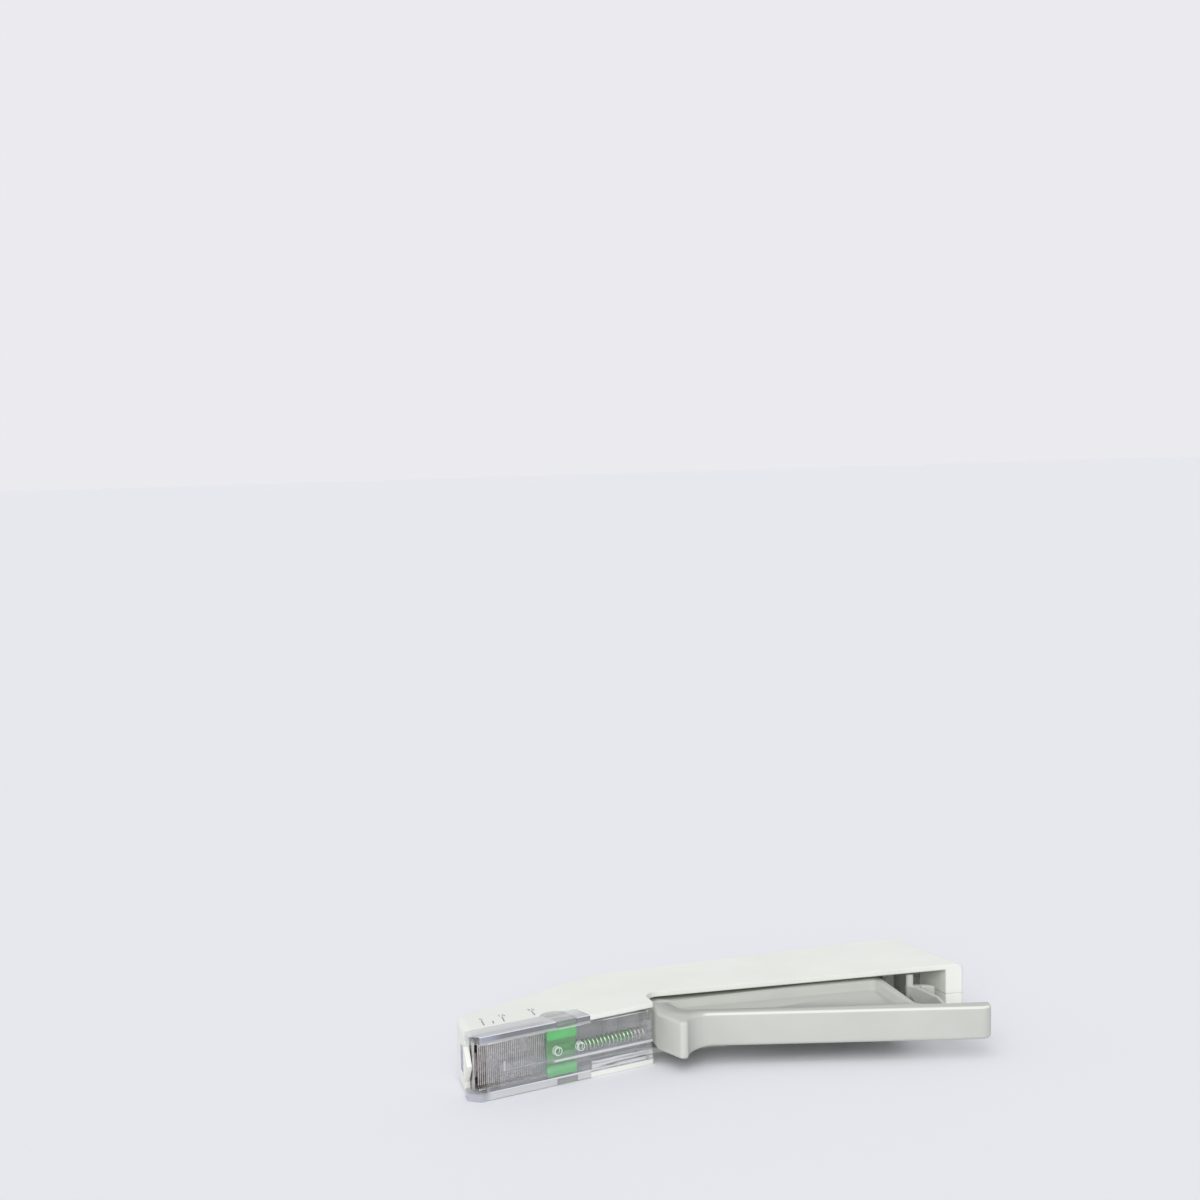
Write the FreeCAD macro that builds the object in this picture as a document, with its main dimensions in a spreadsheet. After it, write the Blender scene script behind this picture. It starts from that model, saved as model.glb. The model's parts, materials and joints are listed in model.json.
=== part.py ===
import FreeCAD
import Part
import Sketcher

import math
import os

# A disposable skin stapler that lies on its right side. X runs along the body from nose to rear,
# Y is the stapler's own up, from the cartridge to the ridge, and Z goes through its thickness.
# The profile is drawn from the lower front corner of the nose. The placement of every piece then
# moves it so that the middle of the whole object's bottom is the origin.

doc = FreeCAD.newDocument("skin_stapler")
sheet = doc.addObject("Spreadsheet::Sheet", "sizes")

SIZES = [
    # where the nose corner lies
    ("origin_x", -74.764),
    ("origin_y", -19.948),
    # housing profile, from the lower front corner of the nose
    ("body_width", 17.2),
    ("shell_wall", 1.5),
    ("nose_top_x", 1.3),
    ("nose_top_y", 15.0),
    ("ridge_front_x", 46.6),
    ("ridge_front_y", 45.0),
    ("ridge_rear_x", 139.6),
    ("ridge_rear_y", 55.2),
    ("rear_top_x", 143.6),
    ("rear_top_y", 53.6),
    ("rear_low_x", 149.8),
    ("slot_edge_y", 20.7),
    ("slot_from_cart", 0.24),
    ("slot_corner_round", 4.7),
    ("nose_round", 2.2),
    ("ridge_corner_round", 1.6),
    ("rim_round", 1.9),
    ("rear_block_depth", 3.6),
    ("rear_block_height", 13.0),
    ("pointer_drop", 3.6),
    ("pointer_half", 4.6),
    ("nose_recess_half", 3.3),
    ("nose_recess_low", 1.4),
    ("nose_recess_high", 6.6),
    ("nose_recess_depth", 0.5),
    ("nose_slant", 0.087),
    # cartridge, drawn along its own axis
    ("tilt", 18.6),
    ("cart_length", 55.0),
    ("cart_open_length", 34.8),
    ("cart_depth", 7.0),
    ("cart_front_drop", 3.9),
    ("cart_front_back", -1.6),
    ("cart_toe", 0.6),
    ("cart_toe_round", 1.1),
    ("cart_rear_round", 1.3),
    ("cover_wall", 2.1),
    ("cover_floor", 0.8),
    ("cover_rear_wall", 1.3),
    ("cover_rear_top", 1.15),
    ("cover_side_gap", 0.1),
    ("exit_rear", 2.8),
    ("cart_gap", 0.1),
    ("base_front", 3.6),
    ("base_flange", 0.8),
    ("base_drop", 1.1),
    ("base_side_gap", 0.05),
    ("anvil_seat_front", 24.6),
    ("anvil_seat_width", 5.0),
    ("pad_diameter", 2.4),
    ("pad_height", 0.35),
    ("pad_front_at", 24.4),
    ("pad_rear_at", 31.6),
    ("pad_shift", 0.6),
    ("rib_front", 7.0),
    ("rib_shift", 1.95),
    ("rib_width", 0.4),
    ("rib_height", 0.5),
    ("outer_rib_shift", 4.1),
    # staples and their rail
    ("staple_count", 35.0),
    ("staple_wire", 0.55),
    ("staple_crown", 0.5),
    ("staple_side_gap", 0.4),
    ("staple_leg", 3.3),
    ("stack_front", 3.25),
    ("anvil_top", 1.9),
    ("anvil_thickness", 0.6),
    ("anvil_width", 6.4),
    ("anvil_front", 1.55),
    ("anvil_length", 31.0),
    ("lifter_thickness", 0.25),
    ("lifter_width", 3.4),
    ("lifter_length", 17.0),
    # pusher, its rod and its spring
    ("pusher_length", 9.3),
    ("pusher_gap", 0.2),
    ("pusher_floor_top", 3.2),
    ("rod_radius", 1.3),
    ("rod_drop", 4.35),
    ("rod_end_gap", 3.07),
    ("channel_half", 3.2),
    ("channel_depth", 0.9),
    ("spring_wire", 0.4),
    ("spring_radius", 1.6),
    ("spring_turns", 18.0),
    ("spring_seat_length", 1.0),
    ("spigot_length", 1.4),
    ("spigot_radius", 1.105),
    ("seat_width", 7.0),
    ("pin_diameter", 0.9),
    ("pin_inset", 1.7),
    # clip of smoked plastic round the cartridge
    ("clip_front", 24.2),
    ("clip_width", 6.3),
    ("clip_top", 2.1),
    ("dome_radius", 5.0),
    ("dome_shift", 0.4),
    ("clip_thickness", 1.5),
    ("clip_gap", 0.1),
    ("clip_bridge", 0.6),
    # driver at the nose
    ("guide_front", 1.65),
    ("guide_plate", 0.5),
    ("guide_gap", 0.1),
    ("guide_flange", 0.6),
    ("guide_length", 11.8),
    ("guide_top", 12.6),
    ("guide_foot", 3.2),
    ("guide_rise", 6.2),
    ("blade_thickness", 0.6),
    ("blade_low", 0.9),
    ("blade_top", 13.6),
    ("blade_notch", 4.6),
    ("blade_notch_gap", 0.4),
    ("carrier_low", 10.3),
    ("carrier_rear", 12.3),
    ("carrier_top", 13.6),
    ("carrier_rise", 4.2),
    ("lever_slot", 3.0),
    ("drive_pin_x", 6.6),
    ("drive_pin_y", 12.6),
    ("drive_pin_radius", 1.0),
    ("drive_pin_length", 8.0),
    ("pin_run", 3.6),
    ("pin_clearance", 0.13),
    # trigger
    ("pivot_x", 30.0),
    ("pivot_y", 24.5),
    ("pivot_radius", 1.5),
    ("pivot_clearance", 0.05),
    ("hub_radius", 4.0),
    ("pivot_boss_radius", 3.2),
    ("pivot_boss_height", 1.0),
    ("collar_radius", 2.1),
    ("collar_gap", 0.3),
    ("trigger_side_gap", 2.7),
    ("arm_side_gap", 4.9),
    ("tooth_from_cart", 4.24),
    ("tooth_y", -1.0),
    ("tooth_width", 2.0),
    ("face_from_cart", 0.94),
    ("trigger_face_y", 9.0),
    ("guard_from_cart", 8.64),
    ("guard_y", 6.2),
    ("guard_round", 7.0),
    ("tail_x", 140.7),
    ("tail_y", -15.9),
    ("tail_top_x", 141.9),
    ("tail_top_y", -10.8),
    ("tail_round", 3.0),
    ("web_rear_x", 126.2),
    ("web_foot_x", 123.9),
    ("web_foot_y", -5.4),
    ("web_top_rear", 25.4),
    ("web_top_front", 30.6),
    ("web_from_cart", -1.86),
    ("hook_root_x", 129.4),
    ("hook_root_y", -7.4),
    ("pocket_depth", 2.5),
    ("pocket_top", 19.2),
    ("pocket_top_from_cart", 6.04),
    ("pocket_low_from_cart", 8.24),
    ("pocket_low_y", 9.8),
    ("pocket_flange_from_cart", 16.94),
    ("pocket_flange_y", 7.9),
    ("pocket_rear_low_x", 121.4),
    ("pocket_rear_low_y", -4.5),
    ("pocket_rear_x", 122.2),
    ("pocket_round", 1.8),
    ("trigger_round", 0.9),
    ("hook_width", 6.8),
    ("hook_arm", 1.1),
    ("hook_top", 22.3),
    ("hook_pin_radius", 1.0),
    ("hook_pin_length", 13.0),
    # lever and its rivets
    ("lever_thickness", 2.0),
    ("lever_fit", 0.05),
    ("lever_rear_x", 43.0),
    ("lever_rear_y", 26.2),
    ("lever_half", 2.3),
    ("lever_tip", 1.8),
    ("rivet_radius", 0.9),
    ("rivet_head_radius", 1.6),
    ("rivet_head", 0.5),
    ("rivet_front_x", 36.6),
    ("rivet_rear_x", 40.8),
    ("rivet_y", 25.0),
    # trigger return spring
    ("return_wire", 0.6),
    ("return_radius", 2.6),
    ("return_turns", 1.0),
    ("return_pitch", 0.65),
    ("return_short_leg", 5.5),
    ("return_long_leg", 16.0),
    ("return_start", 60.0),
    ("stub_x", 44.5),
    ("stub_radius", 0.9),
    # joining pegs between the shells
    ("peg_radius", 1.0),
    ("peg_boss_radius", 1.9),
    ("peg_fit", 0.05),
    ("peg_length", 2.4),
    ("peg_front_x", 45.8),
    ("peg_front_y", 39.6),
    ("peg_mid_x", 90.0),
    ("peg_mid_y", 46.2),
    ("peg_rear_x", 139.4),
    ("peg_rear_y", 50.2),
    ("peg_belly_x", 44.6),
    ("peg_belly_y", 18.6),
]

size = {}
for row, (alias, value) in enumerate(SIZES, start=1):
    sheet.set("A%d" % row, alias)
    sheet.set("B%d" % row, str(value))
    sheet.setAlias("B%d" % row, alias)
doc.recompute()
for alias, value in SIZES:
    size[alias] = float(sheet.get(alias))


def plane_of(body, role):
    """The origin plane of a body, by its role."""
    return [feature for feature in body.Origin.OriginFeatures if feature.Role == role][0]


def number(expression):
    """What an expression of the sheet's names comes to."""
    return float(sheet.evalExpression(expression))


def new_body(name, turned=False):
    """An empty body at the object's origin, along the cartridge's axis where it is turned."""
    body = doc.addObject("PartDesign::Body", name)
    body.Label = name
    body.setExpression("Placement.Base.x", "sizes.origin_x")
    body.setExpression("Placement.Base.y", "sizes.origin_y")
    if turned:
        body.Placement.Rotation = FreeCAD.Rotation(FreeCAD.Vector(0, 0, 1), 1)
        body.setExpression("Placement.Rotation.Angle", "sizes.tilt")
    return body


def new_sketch(body, role, lift):
    """A sketch on one of the body's origin planes, moved along the plane's normal."""
    sketch = body.newObject("Sketcher::SketchObject", body.Label + "_sketch")
    sketch.AttachmentSupport = [(plane_of(body, role), "")]
    sketch.MapMode = "FlatFace"
    sketch.setExpression("AttachmentOffset.Base.z", lift)
    return sketch


def polygon_sketch(body, corners, role="XY_Plane", lift="0"):
    """A closed outline whose corners are pairs of expressions."""
    sketch = new_sketch(body, role, lift)
    spots = [FreeCAD.Vector(number(across), number(along), 0) for across, along in corners]
    count = len(corners)
    for index in range(count):
        sketch.addGeometry(Part.LineSegment(spots[index], spots[(index + 1) % count]))
    for index in range(count):
        follower = (index + 1) % count
        sketch.addConstraint(Sketcher.Constraint("Coincident", index, 2, follower, 1))
    for index, (across, along) in enumerate(corners):
        place = Sketcher.Constraint("DistanceX", -1, 1, index, 1, spots[index].x)
        sketch.setExpression("Constraints[%d]" % sketch.addConstraint(place), across)
        place = Sketcher.Constraint("DistanceY", -1, 1, index, 1, spots[index].y)
        sketch.setExpression("Constraints[%d]" % sketch.addConstraint(place), along)
    return sketch


def circle_sketch(body, across, along, radius, role="XY_Plane", lift="0"):
    """A circle by its centre and radius."""
    sketch = new_sketch(body, role, lift)
    centre = FreeCAD.Vector(number(across), number(along), 0)
    ring = Part.Circle(centre, FreeCAD.Vector(0, 0, 1), number(radius))
    sketch.addGeometry(ring)
    place = Sketcher.Constraint("DistanceX", -1, 1, 0, 3, centre.x)
    sketch.setExpression("Constraints[%d]" % sketch.addConstraint(place), across)
    place = Sketcher.Constraint("DistanceY", -1, 1, 0, 3, centre.y)
    sketch.setExpression("Constraints[%d]" % sketch.addConstraint(place), along)
    reach = Sketcher.Constraint("Radius", 0, number(radius))
    sketch.setExpression("Constraints[%d]" % sketch.addConstraint(reach), radius)
    return sketch


def pad(body, sketch, length, reverse=False, middle=False):
    """Material along the sketch's normal."""
    feature = body.newObject("PartDesign::Pad", body.Label + "_pad")
    feature.Profile = sketch
    feature.setExpression("Length", length)
    feature.Reversed = reverse
    feature.Midplane = middle
    doc.recompute()
    return feature


def pocket(body, sketch, length, reverse=False, middle=False):
    """A cut along the sketch's normal, which must take something away."""
    before = body.Shape.Volume
    feature = body.newObject("PartDesign::Pocket", body.Label + "_pocket")
    feature.Profile = sketch
    feature.Type = "Length"
    feature.setExpression("Length", length)
    feature.Reversed = reverse
    feature.Midplane = middle
    doc.recompute()
    if not body.Shape.Volume < before:
        raise RuntimeError(body.Label + ": a pocket cut nothing")
    return feature


def upright_edges(feature, spots):
    """Names of the edges along Z that stand at the given places in the plane."""
    names = []
    for index, edge in enumerate(feature.Shape.Edges, start=1):
        if len(edge.Vertexes) != 2:
            continue
        low, high = edge.Vertexes[0].Point, edge.Vertexes[1].Point
        straight = abs(low.x - high.x) < 1e-4 and abs(low.y - high.y) < 1e-4
        for across, along in spots:
            if straight and math.hypot(low.x - across, low.y - along) < 1e-3:
                names.append("Edge%d" % index)
    return names


def fillet(body, feature, names, radius):
    """Rounded edges, picked by name."""
    if not names:
        raise RuntimeError(body.Label + ": no edge to round")
    feature_round = body.newObject("PartDesign::Fillet", body.Label + "_round")
    feature_round.Base = (feature, names)
    feature_round.setExpression("Radius", radius)
    doc.recompute()
    return feature_round


def corner(across, along):
    """A pair of expressions as numbers."""
    return number(across), number(along)


def level_edges(feature, height, inside=None):
    """Names of the edges that lie at one height, or of those that a test lets through."""
    names = []
    for index, edge in enumerate(feature.Shape.Edges, start=1):
        box = edge.BoundBox
        flat = abs(box.ZMin - height) < 1e-4 and abs(box.ZMax - height) < 1e-4
        middle = edge.valueAt((edge.FirstParameter + edge.LastParameter) / 2)
        if flat and (inside is None or inside(middle)):
            names.append("Edge%d" % index)
    return names


TILT_SIN = "sin(sizes.tilt)"
TILT_COS = "cos(sizes.tilt)"
CART_END = "(sizes.cart_length * %s + sizes.cart_depth * %s)" % (TILT_COS, TILT_SIN)
SLOT_FRONT = "(%s + sizes.slot_from_cart)" % CART_END
MIDDLE = "sizes.body_width / 2"


def on_cartridge(along, up):
    """A point given along the cartridge and square to it, as expressions of the main profile."""
    across = "(%s) * %s - (%s) * %s" % (along, TILT_COS, up, TILT_SIN)
    height = "(%s) * %s + (%s) * %s" % (along, TILT_SIN, up, TILT_COS)
    return across, height


def housing_outline():
    """Side profile of the housing, which the two shells share."""
    belly = "(%s * %s - sizes.cart_depth) / %s" % (SLOT_FRONT, TILT_SIN, TILT_COS)
    return [
        ("0", "0"),
        ("sizes.nose_top_x", "sizes.nose_top_y"),
        ("sizes.ridge_front_x", "sizes.ridge_front_y"),
        ("sizes.ridge_rear_x", "sizes.ridge_rear_y"),
        ("sizes.rear_top_x", "sizes.rear_top_y"),
        ("sizes.rear_low_x", "sizes.slot_edge_y"),
        (SLOT_FRONT, "sizes.slot_edge_y"),
        (SLOT_FRONT, belly),
        on_cartridge("sizes.cart_open_length", "-sizes.cart_depth"),
        on_cartridge("sizes.cart_open_length", "0"),
    ]


def open_faces(feature, parting):
    """Names of the faces that a half shell leaves open: its parting face and its underside."""
    names = []
    for index, face in enumerate(feature.Shape.Faces, start=1):
        low, high, first, last = face.ParameterRange
        normal = face.normalAt((low + high) / 2, (first + last) / 2)
        centre = face.CenterOfMass
        under = normal.y < -0.3
        step = normal.x > 0.5 and centre.x < number(SLOT_FRONT) + size["slot_corner_round"]
        if abs(centre.z - parting) < 1e-4 or (abs(normal.z) < 0.1 and (under or step)):
            names.append("Face%d" % index)
    return names


PEGS = [
    ("sizes.peg_front_x", "sizes.peg_front_y"),
    ("sizes.peg_mid_x", "sizes.peg_mid_y"),
    ("sizes.peg_rear_x", "sizes.peg_rear_y"),
    ("sizes.peg_belly_x", "sizes.peg_belly_y"),
]


def make_shell(name, left):
    """One half of the housing: a thin moulded wall, open below, with its bosses and pegs."""
    body = new_body(name)
    floor = "sizes.body_width" if left else "0"
    blank = pad(body, polygon_sketch(body, housing_outline(), lift=floor), MIDDLE, reverse=left)
    outer = number(floor)
    spots = [corner(*place) for place in housing_outline()]
    blank = fillet(body, blank, upright_edges(blank, spots[6:7]), "sizes.slot_corner_round")
    blank = fillet(body, blank, upright_edges(blank, spots[1:2]), "sizes.nose_round")
    blank = fillet(body, blank, upright_edges(blank, spots[2:5]), "sizes.ridge_corner_round")
    nose_x, nose_y = spots[1]
    rear_x, rear_y = spots[5]

    def upper(point):
        above_nose = point.x < nose_x + 1 and 0 < point.y < nose_y
        above_slope = point.x > nose_x and point.y > nose_y + (point.x - nose_x) * 0.45
        at_rear = point.x > rear_x - 8 and point.y > rear_y + 0.5
        return above_nose or above_slope or at_rear

    blank = fillet(body, blank, level_edges(blank, outer, upper), "sizes.rim_round")
    hollow = body.newObject("PartDesign::Thickness", name + "_wall")
    hollow.Base = (blank, open_faces(blank, size["body_width"] / 2))
    hollow.setExpression("Value", "sizes.shell_wall")
    hollow.Reversed = True
    doc.recompute()
    return body


def on_blade(behind, height):
    """A point on a plane that leans as the nose does, some way behind the nose face."""
    return "%s + sizes.nose_slant * (%s)" % (behind, height), height


def leaning_plate(front, back, low, high):
    """Side outline of a plate that leans as the nose does."""
    return [on_blade(front, low), on_blade(back, low), on_blade(back, high), on_blade(front, high)]


def rectangle(left, low, right, high):
    """Four corners of an upright rectangle."""
    return [(left, low), (right, low), (right, high), (left, high)]


def slab(body, corners, low, high):
    """Material between two heights with one outline."""
    return pad(body, polygon_sketch(body, corners, lift=low), "(%s) - (%s)" % (high, low))


def cut_slab(body, corners, low, high):
    """A cut between two heights with one outline."""
    sketch = polygon_sketch(body, corners, lift=low)
    return pocket(body, sketch, "(%s) - (%s)" % (high, low), reverse=True)


def rod(body, across, along, radius, low, high):
    """A round post along Z."""
    sketch = circle_sketch(body, across, along, radius, lift=low)
    return pad(body, sketch, "(%s) - (%s)" % (high, low))


def bore(body, across, along, radius, low, high):
    """A round hole along Z."""
    sketch = circle_sketch(body, across, along, radius, lift=low)
    return pocket(body, sketch, "(%s) - (%s)" % (high, low), reverse=True)


def about_middle(half):
    """Heights at one distance below and above the middle plane."""
    return "%s - (%s)" % (MIDDLE, half), "%s + (%s)" % (MIDDLE, half)


def half_range(left, inner, outer):
    """Two distances from the middle plane as heights on one side of it."""
    if left:
        return "%s + (%s)" % (MIDDLE, inner), "%s + (%s)" % (MIDDLE, outer)
    return "%s - (%s)" % (MIDDLE, outer), "%s - (%s)" % (MIDDLE, inner)


def finish_shell(body, left):
    """What stands on a shell's wall: rear block, pointer, pivot boss, peg bosses, clip window."""
    to_wall = "%s - sizes.shell_wall / 2" % MIDDLE
    to_face = "%s - sizes.shell_wall" % MIDDLE
    lean = "(sizes.rear_low_x - sizes.rear_top_x) / (sizes.rear_top_y - sizes.slot_edge_y)"
    block_top = "sizes.slot_edge_y + sizes.rear_block_height"
    outer_x = "sizes.rear_low_x - sizes.shell_wall / 2"
    inner_x = "sizes.rear_low_x - sizes.shell_wall - sizes.rear_block_depth"
    block = [
        (inner_x, "sizes.slot_edge_y"),
        (outer_x, "sizes.slot_edge_y"),
        ("%s - %s * sizes.rear_block_height" % (outer_x, lean), block_top),
        ("%s - %s * sizes.rear_block_height" % (inner_x, lean), block_top),
    ]
    slab(body, block, *half_range(left, "0", to_wall))
    sign = "+" if left else "-"
    pointer_side = "%s %s sizes.pointer_half" % (MIDDLE, sign)
    pointer = [
        ("sizes.shell_wall", MIDDLE),
        ("-sizes.pointer_drop", MIDDLE),
        ("0", pointer_side),
        ("sizes.shell_wall", pointer_side),
    ]
    pointer_start = "-sizes.pointer_drop * sizes.nose_slant / 2"
    pad(body, polygon_sketch(body, pointer, "YZ_Plane", pointer_start), "sizes.shell_wall - 0.1")
    recess_side = half_range(left, "-0.1", "sizes.nose_recess_half")
    cut_slab(body, leaning_plate("-1", "sizes.nose_recess_depth", *NOSE_RECESS), *recess_side)
    boss_top = "%s - sizes.pivot_boss_height" % to_face
    rod(body, *PIVOT_AT, "sizes.pivot_boss_radius", *half_range(left, boss_top, to_wall))
    bore(body, *PIVOT_AT, "sizes.pivot_radius", *half_range(left, boss_top, to_face))
    for peg in PEGS:
        rod(body, *peg, "sizes.peg_boss_radius", *half_range(left, "0", to_wall))
    for peg in PEGS:
        if left:
            peg_size = "sizes.peg_radius - sizes.peg_fit"
            rod(body, *peg, peg_size, "%s - sizes.peg_length" % MIDDLE, "%s + 0.2" % MIDDLE)
        else:
            bore(body, *peg, "sizes.peg_radius", "%s - sizes.peg_length - 0.3" % MIDDLE, MIDDLE)
    beyond = half_range(left, to_face + " - 0.2", MIDDLE)
    bore(body, *on_cartridge(DOME_AT, DOME_DROP), "sizes.dome_radius + sizes.clip_gap", *beyond)


PIVOT_AT = ("sizes.pivot_x", "sizes.pivot_y")
NOSE_RECESS = ("sizes.nose_recess_low", "sizes.nose_recess_high")
DOME_AT = "(sizes.clip_front + sizes.clip_width / 2 + sizes.dome_shift)"
DOME_DROP = "(sizes.clip_top - sizes.dome_radius)"

left_shell = make_shell("left_shell", True)
finish_shell(left_shell, True)
right_shell = make_shell("right_shell", False)
finish_shell(right_shell, False)

# Cartridge. Heights are negative below the line where the shells end.

FLOOR = "(sizes.cover_floor - sizes.cart_depth)"
LEAN = "((tan(sizes.tilt) + sizes.nose_slant) / (1 - tan(sizes.tilt) * sizes.nose_slant))"
INNER_LOW = "sizes.cover_wall"
INNER_HIGH = "sizes.body_width - sizes.cover_wall"


def make_cover():
    """Clear lower half of the cartridge: a trough, full width in front, narrower behind."""
    body = new_body("cartridge_cover", turned=True)
    side = [
        ("0", "-sizes.cart_gap"),
        ("sizes.cart_front_back", "-sizes.cart_front_drop"),
        ("sizes.cart_toe", "-sizes.cart_depth"),
        ("sizes.cart_open_length", "-sizes.cart_depth"),
        ("sizes.cart_open_length", "-sizes.cart_gap"),
    ]
    blank = slab(body, side, "0", "sizes.body_width")
    toe, rear_corner = corner(*side[2]), corner(*side[4])
    blank = fillet(body, blank, upright_edges(blank, [toe]), "sizes.cart_toe_round")
    fillet(body, blank, upright_edges(blank, [rear_corner]), "sizes.cart_rear_round")
    rear_low = "sizes.shell_wall + sizes.cover_side_gap"
    rear_high = "sizes.body_width - sizes.shell_wall - sizes.cover_side_gap"
    cart_end = ("sizes.cart_open_length - 1", "-sizes.cart_depth", "sizes.cart_length")
    slab(body, rectangle(*cart_end, "-sizes.cover_rear_top"), rear_low, rear_high)
    inside = rectangle("-sizes.cart_depth", FLOOR, "sizes.cart_open_length", "1")
    cut_slab(body, inside, INNER_LOW, INNER_HIGH)
    inside = rectangle("sizes.cart_open_length - 1", FLOOR, "sizes.cart_length + 1", "1")
    rear_inner_low = rear_low + " + sizes.cover_rear_wall"
    cut_slab(body, inside, rear_inner_low, rear_high + " - sizes.cover_rear_wall")
    mouth = rectangle("-sizes.cart_depth", "-sizes.cart_depth - 1", "sizes.exit_rear", "0")
    cut_slab(body, mouth, INNER_LOW, INNER_HIGH)
    notch_right = "sizes.clip_front + sizes.clip_width + sizes.clip_gap"
    notch_left = "sizes.clip_front - sizes.clip_gap"
    notch = rectangle(notch_left, "-sizes.cart_depth - 1", notch_right, "1")
    notch_depth = "sizes.clip_thickness + 2 * sizes.clip_gap"
    cut_slab(body, notch, "-1", notch_depth)
    cut_slab(body, notch, "sizes.body_width - (%s)" % notch_depth, "sizes.body_width + 1")
    for along in ("sizes.pad_front_at", "sizes.pad_rear_at"):
        spot = (along, "%s + sizes.pad_shift" % MIDDLE)
        start = "sizes.cart_depth - 0.1"
        sketch = circle_sketch(body, *spot, "sizes.pad_diameter / 2", "XZ_Plane", start)
        pad(body, sketch, "sizes.pad_height + 0.1")
        start = "sizes.cart_depth + sizes.pad_height"
        hollow = circle_sketch(body, *spot, "sizes.pad_diameter / 3", "XZ_Plane", start)
        pocket(body, hollow, "sizes.pad_height")
    seat_clear = "sizes.cart_length - sizes.spring_seat_length - 0.1"
    ribs = (
        ("sizes.rib_front", seat_clear, "sizes.rib_shift"),
        ("sizes.cart_open_length + 0.5", "sizes.cart_length", "sizes.outer_rib_shift"),
    )
    for front, rear, shift in ribs:
        rib = rectangle(front, FLOOR + " - 0.1", rear, FLOOR + " + sizes.rib_height")
        for sign in ("-", "+"):
            low = "%s %s %s - sizes.rib_width / 2" % (MIDDLE, sign, shift)
            slab(body, rib, low, low + " + sizes.rib_width")
    for height in PIN_HEIGHTS:
        spot = (PIN_AT, height)
        hole = circle_sketch(body, *spot, "sizes.pin_diameter / 2", "XZ_Plane", "sizes.cart_depth")
        pocket(body, hole, "sizes.cart_depth")
    return body


PIN_AT = "sizes.cart_length - sizes.pin_inset"
PIN_HEIGHTS = [
    "sizes.shell_wall + sizes.cover_side_gap + sizes.cover_rear_wall / 2",
    "sizes.body_width - sizes.shell_wall - sizes.cover_side_gap - sizes.cover_rear_wall / 2",
]

cartridge_cover = make_cover()

cartridge_base = new_body("cartridge_base", turned=True)
base_rib = [
    ("sizes.base_front", "-sizes.base_drop"),
    ("sizes.cart_length", "-sizes.base_drop"),
    ("sizes.cart_length", "0"),
    ("sizes.base_front + %s * sizes.base_drop" % LEAN, "0"),
]
base_low = "sizes.cover_wall + sizes.base_side_gap"
slab(cartridge_base, base_rib, base_low, "sizes.body_width - (%s)" % base_low)
base_plate = [
    ("sizes.base_front + %s * sizes.base_drop" % LEAN, "0"),
    ("sizes.cart_length", "0"),
    ("sizes.cart_length", "sizes.base_flange"),
    ("sizes.base_front + %s * (sizes.base_drop + sizes.base_flange)" % LEAN, "sizes.base_flange"),
]
plate_low = "sizes.shell_wall + sizes.cover_side_gap"
slab(cartridge_base, base_plate, plate_low, "sizes.body_width - (%s)" % plate_low)
seat_top = "-sizes.base_drop + 0.2"
anvil_seat = rectangle("sizes.anvil_seat_front", "-sizes.anvil_top", "sizes.anvil_length", seat_top)
slab(cartridge_base, anvil_seat, *about_middle("sizes.anvil_seat_width / 2"))

cartridge_pins = new_body("cartridge_pins", turned=True)
for height in PIN_HEIGHTS:
    spot = (PIN_AT, height)
    top = "sizes.cover_rear_top"
    pin = circle_sketch(cartridge_pins, *spot, "sizes.pin_diameter / 2", "XZ_Plane", top)
    pad(cartridge_pins, pin, "sizes.cart_depth - sizes.cover_rear_top")

anvil_plate = new_body("anvil_plate", turned=True)
ANVIL_LOW = "(-sizes.anvil_top - sizes.anvil_thickness)"
anvil_side = rectangle("sizes.anvil_front", ANVIL_LOW, "sizes.anvil_length", "-sizes.anvil_top")
slab(anvil_plate, anvil_side, *about_middle("sizes.anvil_width / 2"))

ejector_spring = new_body("ejector_spring", turned=True)
leaf = rectangle(
    "sizes.anvil_front + 0.4",
    ANVIL_LOW + " - sizes.lifter_thickness",
    "sizes.anvil_front + sizes.lifter_length",
    ANVIL_LOW,
)
slab(ejector_spring, leaf, *about_middle("sizes.lifter_width / 2"))


def make_staples():
    """The stack: one staple of flat wire after another, each parallel to the driver."""
    lean = number(LEAN)
    across_rail = FreeCAD.Vector(lean, 1, 0).normalize()
    pitch = size["staple_wire"] / across_rail.y
    crown_low = -size["anvil_top"]
    middle = size["body_width"] / 2
    half = middle - size["cover_wall"] - size["staple_side_gap"]
    wire = size["staple_wire"]
    leg = size["staple_leg"]
    crown = size["staple_crown"]
    profile = [
        (-half, crown),
        (-half, -leg),
        (-half + wire / 2, -leg - wire),
        (-half + wire, -leg),
        (-half + wire, 0),
        (half - wire, 0),
        (half - wire, -leg),
        (half - wire / 2, -leg - wire),
        (half, -leg),
        (half, crown),
    ]
    drop = wire * lean / math.hypot(1, lean)
    staples = []
    for index in range(int(round(size["staple_count"]))):
        foot_height = crown_low + drop
        foot = size["stack_front"] + lean * foot_height + pitch * index
        start = FreeCAD.Vector(foot, foot_height, middle)
        corners = [start + across_rail * up + FreeCAD.Vector(0, 0, side) for side, up in profile]
        face = Part.Face(Part.makePolygon(corners + [corners[0]]))
        thickness = FreeCAD.Vector(across_rail.y, -across_rail.x, 0) * wire * 0.98
        staples.append(face.extrude(thickness))
    return Part.makeCompound(staples)


def add_feature(name, shape, turned=False):
    """A piece drawn by code, placed as the other pieces are."""
    feature = doc.addObject("Part::Feature", name)
    feature.Label = name
    feature.Shape = shape
    turn = FreeCAD.Rotation(FreeCAD.Vector(0, 0, 1), size["tilt"] if turned else 0)
    spot = FreeCAD.Vector(size["origin_x"], size["origin_y"], 0)
    feature.Placement = FreeCAD.Placement(spot, turn)
    return feature


staple_stack = add_feature("staple_stack", make_staples(), turned=True)

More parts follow.
